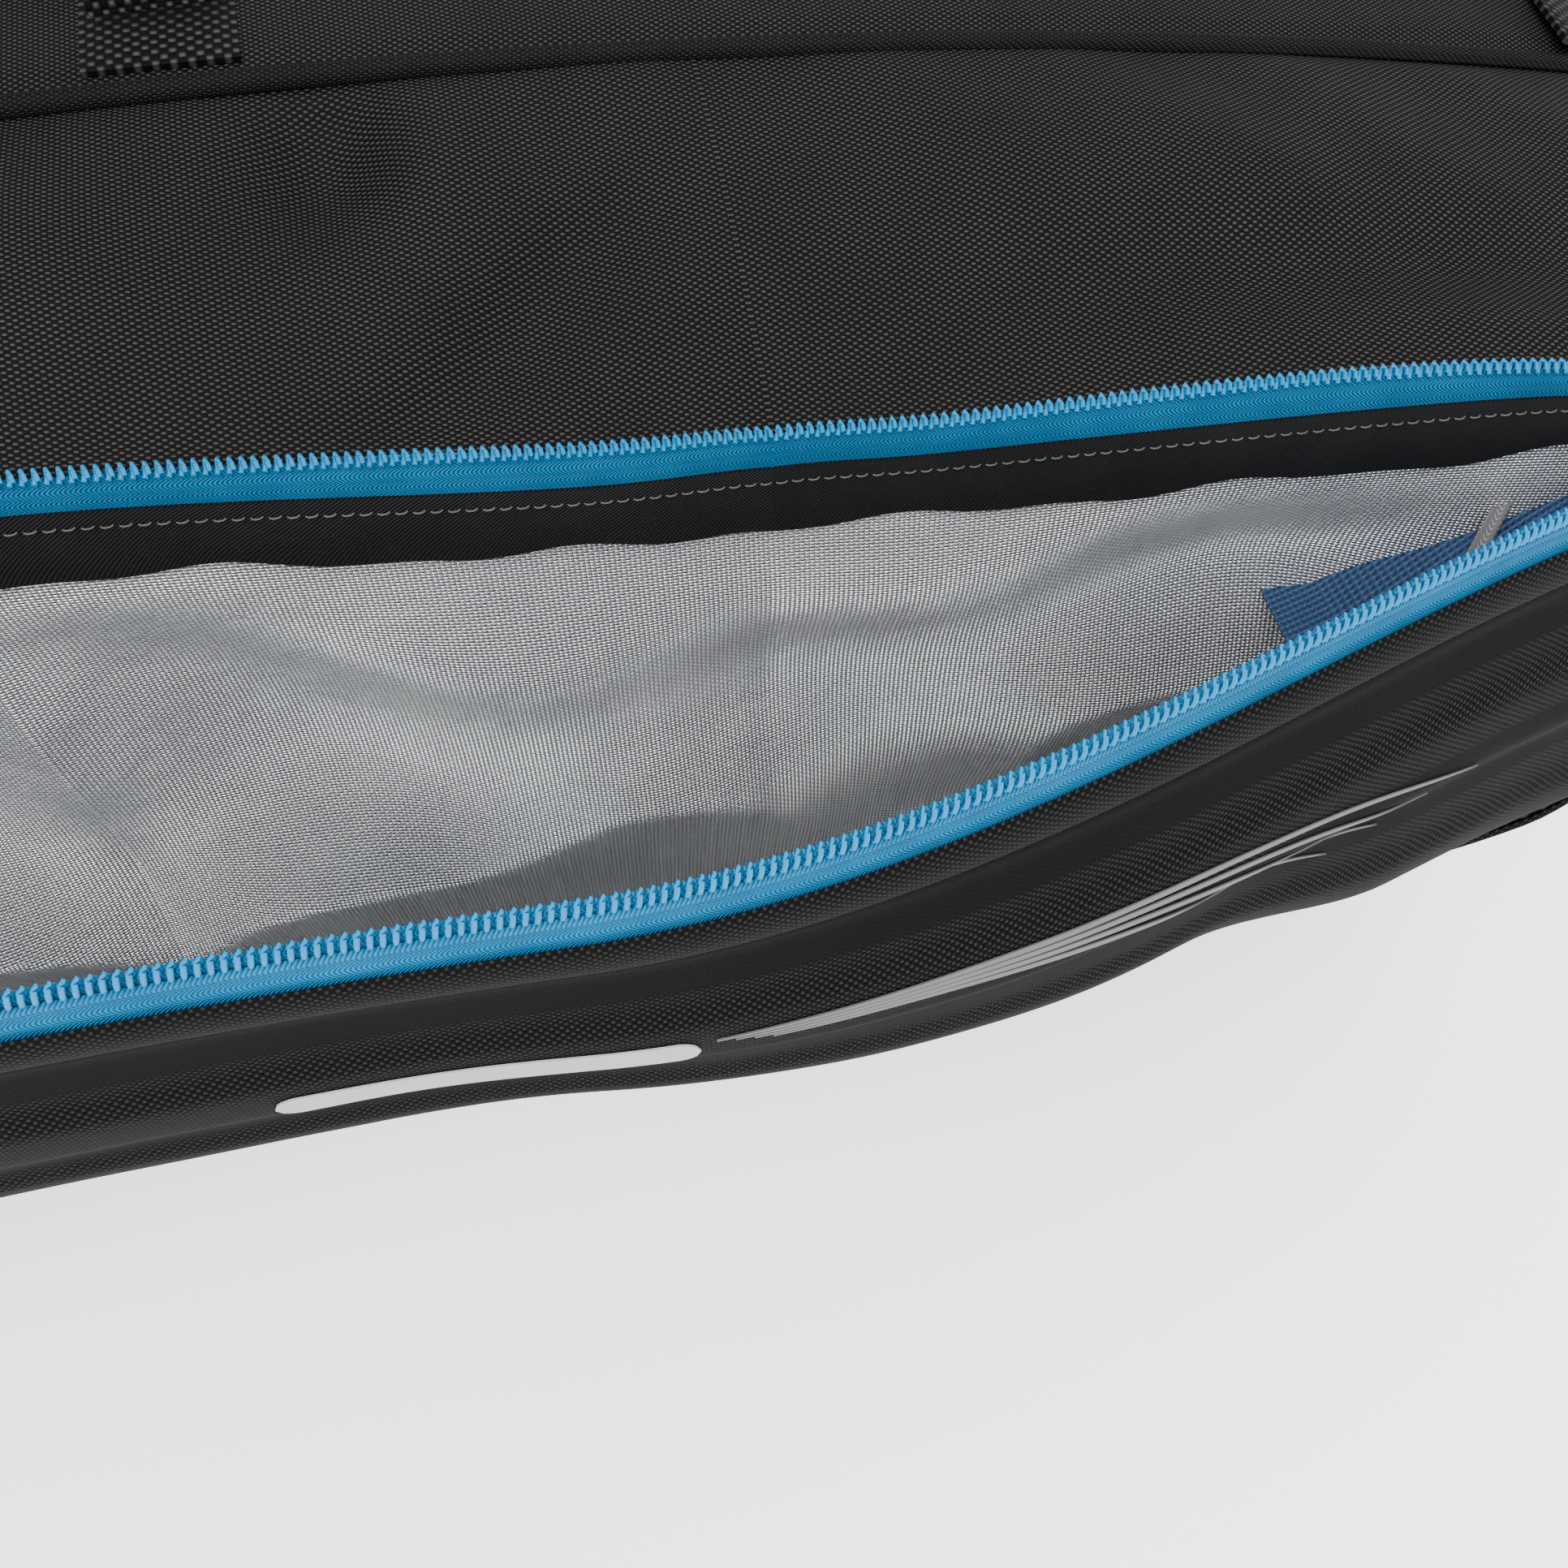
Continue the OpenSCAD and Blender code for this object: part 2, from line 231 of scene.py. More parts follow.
@dataclass(frozen=True)
class Fold:
    """How much of a joint's turn the cloth has at a place along the bag."""

    pivot: tuple[float, float]
    deg: float
    start: float
    end: float
    body: str

    def weight(self, x: float) -> float:
        """Share of the turn at x."""
        return smooth((self.start - abs(x)) / (self.start - self.end))

    def rest(self, x: float, y: float, z: float) -> tuple[float, float, float]:
        """Take a closed point to where it is at rest, in mm."""
        ry, rz = turned(y, z, self.pivot, self.deg * self.weight(x))
        return x, ry, rz

    def blend(self, piece: bpy.types.Object) -> None:
        """Bake a piece's placement into its mesh."""
        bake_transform(piece)


CORE_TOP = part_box("centre_gusset")[1]
OUT = Outline(half=CORE_TOP[0] / MM, crown=CORE_TOP[2] / MM)
JOINTS = {j["name"]: j for j in frame["record"]["behaviour"]["joints"]}
HINGE = tuple(v / MM for v in JOINTS["front_panel_swing"]["pos_m"][1:])
PIVOT = tuple(v / MM for v in JOINTS["gusset_flap_lift"]["pos_m"][1:])
CURVE = PanelCurve(lip_z=OUT.crown - 4.0, hinge=HINGE)
SWING = Fold(HINGE, -JOINTS["front_panel_swing"]["range_deg"][0], 430.0, 105.0, "panel")
FLAP_DEG = -JOINTS["gusset_flap_lift"]["range_deg"][0]
DROP_MID = Fold(PIVOT, FLAP_DEG, -137.0, 283.0, "flap")
DROP_END = Fold(PIVOT, FLAP_DEG, 330.0, 90.0, "flap")
SPLIT = 160.0
VALLEY = -52.5
LIP_INSET = 4.0


@lru_cache(maxsize=None)
def lip_s(x: float) -> float:
    """Place of the zip's middle on the panel's curve at x."""
    return CURVE.s_at(OUT.top(x) - LIP_INSET)


# ---- Making meshes -----------------------------------------------------------------------------


def deselect() -> None:
    """Leave nothing selected."""
    if bpy.context.object and bpy.context.object.mode != "OBJECT":
        bpy.ops.object.mode_set(mode="OBJECT")
    bpy.ops.object.select_all(action="DESELECT")


def activate(obj: bpy.types.Object) -> None:
    """Make obj the only selected and active object."""
    deselect()
    obj.select_set(True)
    bpy.context.view_layer.objects.active = obj


def clean(obj: bpy.types.Object, merge: float = 1e-5, outward: bool = True) -> None:
    """Merge doubles and turn the faces outwards."""
    activate(obj)
    bpy.ops.object.mode_set(mode="EDIT")
    bpy.ops.mesh.select_all(action="SELECT")
    bpy.ops.mesh.remove_doubles(threshold=merge)
    if outward:
        bpy.ops.mesh.normals_make_consistent(inside=False)
    bpy.ops.object.mode_set(mode="OBJECT")


def modify(obj: bpy.types.Object, kind: str, **values: object) -> None:
    """Add one modifier with its values and apply it."""
    activate(obj)
    mod = obj.modifiers.new(kind.title(), kind)
    for key, value in values.items():
        setattr(mod, key, value)
    bpy.ops.object.modifier_apply(modifier=mod.name)


def lofted(name: str, nu: int, nv: int, place: Place, span: tuple[float, float],
           thick: float = 0.0, fine: int = 0, flip: bool = False) -> bpy.types.Object:
    """Make a sheet from a grid whose points are placed by a function.

    Args:
        name: name of the piece.
        nu: faces along u.
        nv: faces along v.
        place: gives (x, y, z) in mm for u and v from 0 to 1.
        span: length of the UV map along u and v, mm.
        thick: thickness, mm, laid inwards of the placed surface; 0 leaves a closed shape alone.
        fine: levels of subdivision.
        flip: whether the sheet's face is turned over before it gets its thickness.

    Returns:
        The new object, at the origin.
    """
    deselect()
    bpy.ops.mesh.primitive_grid_add(x_subdivisions=nu, y_subdivisions=nv, size=1.0, calc_uvs=True,
                                    location=(0, 0, 0))
    obj = bpy.context.object
    obj.name = name
    mesh = obj.data
    for v in mesh.vertices:
        x, y, z = place(v.co.x + 0.5, v.co.y + 0.5)
        v.co = (x * MM, y * MM, z * MM)
    layer = mesh.uv_layers.active.data
    for item in layer:
        item.uv = (item.uv[0] * span[0] * MM, item.uv[1] * span[1] * MM)
    clean(obj, outward=thick == 0.0)
    if flip:
        activate(obj)
        bpy.ops.object.mode_set(mode="EDIT")
        bpy.ops.mesh.select_all(action="SELECT")
        bpy.ops.mesh.flip_normals()
        bpy.ops.object.mode_set(mode="OBJECT")
    if thick:
        modify(obj, "SOLIDIFY", thickness=thick * MM, offset=-1.0)
        clean(obj, merge=1e-6)
    if fine:
        modify(obj, "SUBSURF", levels=fine, render_levels=fine)
    activate(obj)
    bpy.ops.object.shade_smooth_by_angle(angle=math.radians(50))
    return obj


def tube(name: str, path: Sequence[tuple[float, float, float]], radius: float,
         sides: int = 8) -> bpy.types.Object:
    """Make a closed round rod along a path.

    Args:
        name: name of the piece.
        path: points of the middle line, mm.
        radius: radius of the section, mm.
        sides: faces round it.

    Returns:
        The rod with closed ends.
    """
    pts = [Vector(p) for p in path]
    n = len(pts) + 1

    def place(u: float, v: float) -> tuple[float, float, float]:
        i = int(round(u * n))
        k = min(max(i - 1, 0), len(pts) - 1)
        here = pts[k]
        ahead = (pts[min(k + 1, len(pts) - 1)] - pts[max(k - 1, 0)]).normalized()
        up = Vector((0, 0, 1)) if abs(ahead.z) < 0.9 else Vector((0, 1, 0))
        side = ahead.cross(up).normalized()
        up = side.cross(ahead)
        r = 0.0 if i in (0, n) else radius
        a = v * 2 * math.pi
        return tuple(here + side * r * math.cos(a) + up * r * math.sin(a))

    length = sum((b - a).length for a, b in zip(pts, pts[1:]))
    return lofted(name, n, sides, place, (length, radius * 6.28))


def repeated(name: str, shape: Sequence[tuple[float, float, float]], radius: float,
             frames: Sequence[tuple[Vector, Vector, Vector, Vector]], sides: int = 6) -> bpy.types.Object:
    """Model one bent rod and copy it to many places as one piece.

    Args:
        name: name of the piece.
        shape: the rod's middle line in the local frame, mm.
        radius: half of its width, mm.
        frames: origin and three axes of each copy, mm.
        sides: faces round the rod.

    Returns:
        The piece with all copies joined.
    """
    one = tube(name + "_one", shape, radius, sides)
    local = np.array([v.co[:] for v in one.data.vertices]) / MM
    faces = [tuple(p.vertices) for p in one.data.polygons]
    bpy.data.objects.remove(one, do_unlink=True)
    verts, polys = [], []
    for origin, ax, ay, az in frames:
        base = len(verts)
        m = np.array([ax, ay, az])
        moved = (local @ m + np.array(origin)) * MM
        verts.extend(moved.tolist())
        polys.extend([tuple(base + i for i in f) for f in faces])
    mesh = bpy.data.meshes.new(name)
    mesh.from_pydata(verts, [], polys)
    mesh.update()
    obj = bpy.data.objects.new(name, mesh)
    bpy.context.collection.objects.link(obj)
    clean(obj, merge=1e-7)
    bpy.ops.object.shade_smooth_by_angle(angle=math.radians(60))
    return obj


# ---- Finishes ------------------------------------------------------------------------------------


class Pattern:
    """Builds a material's nodes in order."""

    def __init__(self, name: str) -> None:
        """Start a material called name."""
        self.mat = bpy.data.materials.new(name)
        self.mat.use_nodes = True
        self.tree = self.mat.node_tree
        self.shader = self.tree.nodes["Principled BSDF"]

    def node(self, kind: str, **values: object) -> bpy.types.Node:
        """Add a node and set its properties."""
        n = self.tree.nodes.new(kind)
        for key, value in values.items():
            setattr(n, key, value)
        return n

    def link(self, a: object, b: object) -> None:
        """Link one socket to another."""
        self.tree.links.new(a, b)

    def math(self, op: str, a: object, b: object = 0.0, clamp: bool = False) -> bpy.types.NodeSocket:
        """Return the result of a math node on two sockets or numbers."""
        n = self.node("ShaderNodeMath", operation=op, use_clamp=clamp)
        for i, v in enumerate((a, b)):
            if isinstance(v, (int, float)):
                n.inputs[i].default_value = v
            else:
                self.link(v, n.inputs[i])
        return n.outputs[0]

    def uv(self) -> tuple[bpy.types.NodeSocket, bpy.types.NodeSocket]:
        """Return the piece's own map, in mm, along and across."""
        tex = self.node("ShaderNodeTexCoord")
        split = self.node("ShaderNodeSeparateXYZ")
        self.link(tex.outputs["UV"], split.inputs[0])
        return (self.math("MULTIPLY", split.outputs[0], 1000.0),
                self.math("MULTIPLY", split.outputs[1], 1000.0))

    def noise(self, scale: float, detail: float = 3.0) -> bpy.types.NodeSocket:
        """Return noise on the object's coordinates with the given scale per metre."""
        tex = self.node("ShaderNodeTexCoord")
        n = self.node("ShaderNodeTexNoise")
        n.inputs["Scale"].default_value = scale
        n.inputs["Detail"].default_value = detail
        self.link(tex.outputs["Object"], n.inputs["Vector"])
        return n.outputs["Fac"]

    def wave(self, along: object, pitch: float, shift: float = 0.0) -> bpy.types.NodeSocket:
        """Return a sine that repeats every two pitches."""
        return self.math("SINE", self.math("MULTIPLY_ADD", along, math.pi / pitch) if shift == 0.0
                         else self.math("ADD", self.math("MULTIPLY", along, math.pi / pitch), shift))

    def mix(self, fac: object, a: Sequence[float], b: object) -> bpy.types.NodeSocket:
        """Return a colour mixed from a to b."""
        n = self.node("ShaderNodeMix", data_type="RGBA")
        self.link(fac, n.inputs["Factor"])
        for key, v in (("A", a), ("B", b)):
            socket = next(s for s in n.inputs if s.name == key and s.type == "RGBA")
            if isinstance(v, tuple):
                socket.default_value = (*v, 1.0)
            else:
                self.link(v, socket)
        return next(s for s in n.outputs if s.type == "RGBA")

    def bump(self, height: object, depth: float, strength: float = 1.0) -> None:
        """Give the shader a bump of the given depth, mm."""
        n = self.node("ShaderNodeBump")
        n.inputs["Strength"].default_value = strength
        n.inputs["Distance"].default_value = depth * MM
        self.link(height, n.inputs["Height"])
        self.link(n.outputs[0], self.shader.inputs["Normal"])

    def base(self, colour: object) -> None:
        """Set or link the base colour."""
        if isinstance(colour, tuple):
            self.shader.inputs["Base Color"].default_value = (*colour, 1.0)
        else:
            self.link(colour, self.shader.inputs["Base Color"])

    def plain(self, **values: float) -> None:
        """Set numbers on the shader's own sockets."""
        for key, value in values.items():
            self.shader.inputs[key.replace("_", " ")].default_value = value


@dataclass(frozen=True)
class Woven:
    """Plain woven cloth with rounded yarns and a painted highlight on the crowns of one set of yarns."""

    name: str
    dark: tuple[float, float, float]
    light: tuple[float, float, float]
    pitch: tuple[float, float] = (1.05, 0.63)
    depth: float = 0.35
    rough: float = 0.72
    yarn_highlight: float = 1.3

    def make(self) -> bpy.types.Material:
        """Return the material."""
        p = Pattern(self.name)
        u, v = p.uv()
        c = p.math("MULTIPLY", p.wave(u, self.pitch[0]), p.wave(v, self.pitch[1]))
        haze = p.math("MULTIPLY", p.noise(60.0), 0.5)
        # The light colour on the yarn crowns, varied by the haze noise, is a painted highlight.
        yarn_highlight = p.math("MULTIPLY", p.math("MULTIPLY", c, self.yarn_highlight, clamp=True),
                      p.math("ADD", haze, 0.72), clamp=True)
        p.base(p.mix(yarn_highlight, self.dark, self.light))
        p.bump(p.math("ADD", p.math("MULTIPLY", c, 0.6), p.math("ABSOLUTE", c)), self.depth, 0.8)
        p.plain(Roughness=self.rough, Specular_IOR_Level=0.07)
        return p.mat


@dataclass(frozen=True)
class Twill:
    """Narrow tape with a fine herringbone weave."""

    name: str
    dark: tuple[float, float, float]
    light: tuple[float, float, float]
    pitch: float = 0.42
    rib: float = 1.6

    def make(self) -> bpy.types.Material:
        """Return the material."""
        p = Pattern(self.name)
        u, v = p.uv()
        zig = p.math("MULTIPLY", p.math("ABSOLUTE", p.wave(v, self.rib * 2)), self.rib)
        c = p.wave(p.math("ADD", u, zig), self.pitch)
        line = p.math("ADD", p.math("MULTIPLY", c, 0.35), 0.45, clamp=True)
        fac = p.math("MULTIPLY", line, p.math("ADD", p.noise(90.0), 0.5), clamp=True)
        p.base(p.mix(fac, self.dark, self.light))
        p.bump(c, 0.16, 0.8)
        p.plain(Roughness=0.62, Specular_IOR_Level=0.12)
        return p.mat


@dataclass(frozen=True)
class Foil:
    """Silver laminate with a fine embossed weave, coloured with painted highlights and shade."""

    name: str = "silver_lining"

    def make(self) -> bpy.types.Material:
        """Return the material."""
        p = Pattern(self.name)
        u, v = p.uv()
        c = p.math("MULTIPLY", p.wave(u, 1.05), p.wave(v, 0.75))
        # Broad noise patches from grey to near white are painted highlights and shade; the weave term adds a
        # painted highlight on the embossed crowns.
        painted_sheen_and_shade = p.math("ADD", p.math("MULTIPLY", p.noise(11.0), 0.75), p.math("MULTIPLY", c, 0.42), clamp=True)
        p.base(p.mix(painted_sheen_and_shade, (0.27, 0.28, 0.30), (0.98, 0.98, 0.985)))
        soft = p.math("MULTIPLY", p.noise(32.0, 3.0), 6.0)
        p.bump(p.math("ADD", p.math("ABSOLUTE", c), soft), 0.7, 0.9)
        p.plain(Metallic=0.72, Roughness=0.28)
        return p.mat


@dataclass(frozen=True)
class Moulded:
    """Pressed foam panel: smooth matte bands between woven bands that follow the zip, with painted highlights
    on the woven bands' yarn crowns.
    """

    name: str = "moulded_cloth"
    band: float = 21.0

    def make(self) -> bpy.types.Material:
        """Return the material."""
        p = Pattern(self.name)
        u, v = p.uv()
        c = p.math("MULTIPLY", p.wave(u, 0.9), p.wave(v, 0.7))
        bands = p.math("MULTIPLY_ADD", p.wave(v, self.band), 4.0)
        bands = p.math("ADD", bands, 0.2, clamp=True)
        weave = p.math("SUBTRACT", 1.0, bands, clamp=True)
        grain = p.math("ADD", p.math("MULTIPLY", weave, 0.9), 0.12)
        # The lighter colour on the yarn crowns of the woven bands is a painted highlight.
        yarn_highlight = p.math("MULTIPLY", p.math("MULTIPLY", c, grain, clamp=True), 0.8, clamp=True)
        p.base(p.mix(yarn_highlight, (0.0008, 0.0008, 0.0008), (0.026, 0.025, 0.024)))
        fine = p.math("MULTIPLY", p.noise(900.0, 2.0), 0.5)
        p.bump(p.math("ADD", p.math("MULTIPLY", p.math("ABSOLUTE", c), grain), fine), 0.25, 0.8)
        p.plain(Roughness=0.8, Specular_IOR_Level=0.05)
        return p.mat


@dataclass(frozen=True)
class Speckled:
    """Plastic, rubber, print or metal with a fine grain and a little unevenness."""

    name: str
    colour: tuple[float, float, float]
    rough: float = 0.4
    metal: float = 0.0
    grain: float = 0.03
    scale: float = 700.0
    coat: float = 0.0
    spec: float = 0.5

    def make(self) -> bpy.types.Material:
        """Return the material."""
        p = Pattern(self.name)
        lift = tuple(min(1.0, c * 1.25) for c in self.colour)
        p.base(p.mix(p.noise(self.scale / 8), self.colour, lift))
        p.bump(p.noise(self.scale), self.grain)
        p.plain(Roughness=self.rough, Metallic=self.metal, Coat_Weight=self.coat,
                Specular_IOR_Level=self.spec)
        return p.mat


@dataclass(frozen=True)
class NetCloth:
    """Blue warp-knitted mesh with painted shade in its holes."""

    name: str = "blue_mesh"

    def make(self) -> bpy.types.Material:
        """Return the material."""
        p = Pattern(self.name)
        u, v = p.uv()
        holes = p.math("MULTIPLY", p.math("ABSOLUTE", p.wave(u, 1.6)), p.math("ABSOLUTE", p.wave(v, 1.6)))
        # The near-black colour in the holes is painted shade for the dark space behind the mesh.
        p.base(p.mix(p.math("POWER", holes, 2.0), (0.010, 0.048, 0.14), (0.002, 0.004, 0.009)))
        p.bump(p.math("MULTIPLY", holes, -1.0), 0.5)
        p.plain(Roughness=0.6)
        return p.mat


class Finishes:
    """All materials of the bag, made once."""

    def __init__(self) -> None:
        """Make every finish."""
        # The second colour of every Woven cloth here is a painted highlight on its yarn crowns.
        black, yarn_highlight_grey = (0.0007, 0.0007, 0.0008), (0.040, 0.038, 0.036)
        self.cloth = Woven("black_cloth", black, yarn_highlight_grey).make()
        self.base = Woven("base_cloth", black, (0.06, 0.06, 0.06), pitch=(1.9, 1.9)).make()
        self.hem = Woven("hem_cloth", (0.001, 0.001, 0.0012), (0.022, 0.021, 0.021), pitch=(0.9, 0.5)).make()
        self.binding = Twill("binding", (0.002, 0.002, 0.0025), (0.012, 0.012, 0.013),
                             pitch=0.5, rib=40.0).make()
        self.webbing = Woven("coarse_webbing", (0.001, 0.001, 0.0012), (0.035, 0.035, 0.035),
                             pitch=(1.7, 1.5), depth=0.5).make()
        self.tape = Twill("blue_tape", (0.0, 0.04, 0.105), (0.0, 0.19, 0.40)).make()
        self.coil = Speckled("blue_coil", (0.0, 0.135, 0.30), rough=0.42, grain=0.01, spec=0.25).make()
        self.lining = Foil().make()
        self.panel = Moulded().make()
        self.print = Speckled("light_print", (0.24, 0.245, 0.25), rough=0.55, grain=0.05).make()
        self.stripe = Speckled("dark_print", (0.05, 0.049, 0.048), rough=0.6, grain=0.06).make()
        self.thread = Twill("thread", (0.02, 0.02, 0.02), (0.07, 0.07, 0.07), pitch=0.3).make()
        self.mesh = NetCloth().make()
        self.elastic = Twill("elastic", (0.07, 0.07, 0.075), (0.25, 0.25, 0.255), pitch=0.5, rib=2.2).make()
        self.enamel = Speckled("blue_enamel", (0.0, 0.26, 0.46), rough=0.25, metal=0.0, grain=0.01,
                               coat=0.5).make()
        self.steel = Speckled("satin_steel", (0.55, 0.56, 0.58), rough=0.25, metal=1.0, grain=0.01).make()
        self.ring = Speckled("dark_enamel", (0.06, 0.06, 0.065), rough=0.3, metal=0.6, grain=0.01).make()
        self.plastic = Speckled("black_plastic", (0.012, 0.012, 0.013), rough=0.35, grain=0.04).make()
        self.rubber = Speckled("foot_rubber", (0.014, 0.014, 0.014), rough=0.8, grain=0.08).make()
        self.board = Speckled("board", (0.03, 0.03, 0.03), rough=0.85, grain=0.05).make()
        self.floor = Speckled("pale_floor", (0.99, 0.99, 0.99), rough=0.95, grain=0.01, scale=60.0).make()
        glow = self.floor.node_tree.nodes["Principled BSDF"].inputs
        glow["Emission Color"].default_value = (1.0, 1.0, 1.0, 1.0)
        glow["Emission Strength"].default_value = 0.8


@dataclass
class Builder:
    """Dresses finished pieces and puts the fixed ones on their bodies."""

    finish: Finishes = field(default_factory=Finishes)

    def dress(self, obj: bpy.types.Object, material: bpy.types.Material,
              replaces: Sequence[str] = ()) -> bpy.types.Object:
        """Give a piece its material and the nodes it stands for."""
        obj.data.materials.clear()
        obj.data.materials.append(material)
        if replaces:
            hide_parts(*replaces)
        LOG.info("%s: %d faces", obj.name, len(obj.data.polygons))
        return obj

    def fixed(self, obj: bpy.types.Object, material: bpy.types.Material, body: str = "shell",
              replaces: Sequence[str] = ()) -> bpy.types.Object:
        """Dress a piece and ride it on one body."""
        self.dress(obj, material, replaces)
        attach(obj, body)
        return obj

    def folded(self, obj: bpy.types.Object, material: bpy.types.Material, fold: Fold,
               replaces: Sequence[str] = ()) -> bpy.types.Object:
        """Dress a piece of one end and bake its placement into its mesh."""
        self.dress(obj, material, replaces)
        fold.blend(obj)
        return obj


# ---- Body cloth -------------------------------------------------------------------------------------


def ripple(x: float, y: float) -> float:
    """Return the soft unevenness of worn cloth at a place, mm."""
    return (0.7 * math.sin(x / 31.0 + y / 17.0) + 0.5 * math.sin(x / 13.0 - y / 23.0 + 1.3)
            + 0.35 * math.sin(x / 7.3 + y / 9.1 + 0.4))


@dataclass
class CentreCompartment:
    """The closed middle compartment: its gusset band and chain."""

    edge: float = 52.0
    bulge: float = 2.2

    def build(self, b: Builder) -> None:
        """Make the band and its zip."""
        loop = OUT.loop(0.0, 300)

        def band(u: float, v: float) -> tuple[float, float, float]:
            x, z = loop[int(round(u * 300)) % 300]
            y = -self.edge + 2 * self.edge * v
            seam = bump_at(abs(y), self.edge, 5.0)
            lift = self.bulge * (1 - (y / self.edge) ** 2) - 2.6 * seam + 0.4 * ripple(x + z, y)
            lift -= 2.2 * bump_at(y, 0.0, 13.0)
            k = 1.0 + lift / 240.0
            if z < OUT.foot + 8:
                k = 1.0
            return x * (1.0 + lift / 400.0), y, (z - 170.0) * k + 170.0

        obj = lofted("centre_cover", 300, 26, band, (2200.0, 2 * self.edge), thick=2.5, flip=True)
        b.fixed(obj, b.finish.cloth, replaces=["centre_gusset"])
        Chain("centre", 0.0).build(b, ["centre_chain"])


@dataclass
class Chain:
    """A closed zip along the arch: two tapes and a double row of coil."""

    name: str
    middle: float
    half_tape: float = 11.0
    pitch: float = 2.0
    reach: float = 372.0

    def build(self, b: Builder, replaces: Sequence[str]) -> None:
        """Make the tape and the coil."""
        y0 = self.middle

        def tape(u: float, v: float) -> tuple[float, float, float]:
            x = (2 * u - 1) * self.reach
            return x, y0 + (2 * v - 1) * self.half_tape, OUT.top(x) + 1.6 - 0.5 * abs(2 * v - 1)

        obj = lofted(self.name + "_tape", 120, 8, tape, (2 * self.reach, 2 * self.half_tape), thick=0.9)
        b.fixed(obj, b.finish.tape, replaces=replaces)
        frames = []
        count = int(2 * self.reach / self.pitch) - 2
        for i in range(count):
            x = -self.reach + (i + 1.5) * self.pitch
            s = 1 if i % 2 else -1
            slope = (OUT.top(x + 1) - OUT.top(x - 1)) / 2
            ax = Vector((1, 0, slope)).normalized()
            ay = Vector((0, -s, 0))
            frames.append((Vector((x, y0 + s * 2.8, OUT.top(x) + 1.7)), ax, ay, ax.cross(Vector((0, 1, 0)))))
        rod = ((-0.4, 0.0, 0.1), (-0.2, 1.0, 0.9), (0.1, 2.6, 1.0), (0.3, 4.0, 0.3))
        coil = repeated(self.name + "_coil", rod, 0.62, frames, sides=5)
        b.fixed(coil, b.finish.coil)


@dataclass
class OuterCover:
    """Gusset of an outer compartment below its mouth: end walls and floor."""

    name: str
    sign: float
    whole: bool = False
    steps: int = 400
    seam: float = 53.0

    @staticmethod
    def edge(z: float) -> float:
        """Distance from the bag's middle to the gusset's outer edge at height z."""
        if z <= HINGE[1]:
            return -HINGE[0] - 2.0
        return -CURVE.at(CURVE.s_at(z), -3.0)[0]

    def build(self, b: Builder, replaces: Sequence[str]) -> None:
        """Make the wall that follows the outline."""
        loop = OUT.loop(0.0, self.steps)
        keep = loop
        if not self.whole:
            def left_corner(i: int) -> tuple[bool, float]:
                x, z = loop[i]
                return x < 0 and z <= OUT.corner[1], z

            start = max(range(len(loop) - 1), key=left_corner)
            ring = [loop[(start + i) % self.steps] for i in range(self.steps)]
            keep = [p for p in ring if p[1] <= OUT.corner[1]]
        n = len(keep) - 1

        def wall(u: float, v: float) -> tuple[float, float, float]:
            x, z = keep[int(round(u * n))]
            far = self.edge(z)
            y = self.seam + (far - self.seam) * v
            lift = 2.0 * math.sin(math.pi * v) - 1.2 * bump_at(v, 0.0, 0.08) + 0.4 * ripple(x + z, y)
            k = 0.0 if z < OUT.foot + 8 else lift
            return x * (1 + k / 400.0), self.sign * y, z + (k if z > OUT.crown - 60 else 0.0)

        obj = lofted(self.name, n, 22, wall, (2200.0, 90.0), thick=2.5, flip=self.sign > 0)
        b.fixed(obj, b.finish.cloth, replaces=replaces)

        def skirt(u: float, v: float) -> tuple[float, float, float]:
            x = (2 * u - 1) * (OUT.half - 34.0)
            low = OUT.bottom(x)
            y = -HINGE[0] - 1.0 + 1.5 * math.sin(math.pi * v)
            return x, self.sign * y, low + (HINGE[1] + 2.0 - low) * v

        obj = lofted(self.name + "_skirt", 90, 6, skirt, (740.0, 25.0), thick=2.0, flip=self.sign > 0)
        b.fixed(obj, b.finish.base)


@dataclass
class PipedSeam:
    """Rolled piping over the seam between two compartments."""

    name: str
    y: float
    radius: float = 2.4

    def build(self, b: Builder) -> None:
        """Make the closed rope of piping round the outline."""
        loop = OUT.loop(0.6, 260)

        def pipe(u: float, v: float) -> tuple[float, float, float]:
            i = int(round(u * 260))
            x, z = loop[i % 260]
            a = v * 2 * math.pi
            r = self.radius
            nx, nz = x / 400.0, (z - 170.0) / 170.0
            k = math.hypot(nx, nz)
            return x + nx / k * r * math.cos(a), self.y + r * math.sin(a), z + nz / k * r * math.cos(a)

        obj = lofted(self.name, 260, 8, pipe, (2200.0, 15.0))
        b.fixed(obj, b.finish.hem)


# ---- Front mouth ---------------------------------------------------------------------------------------


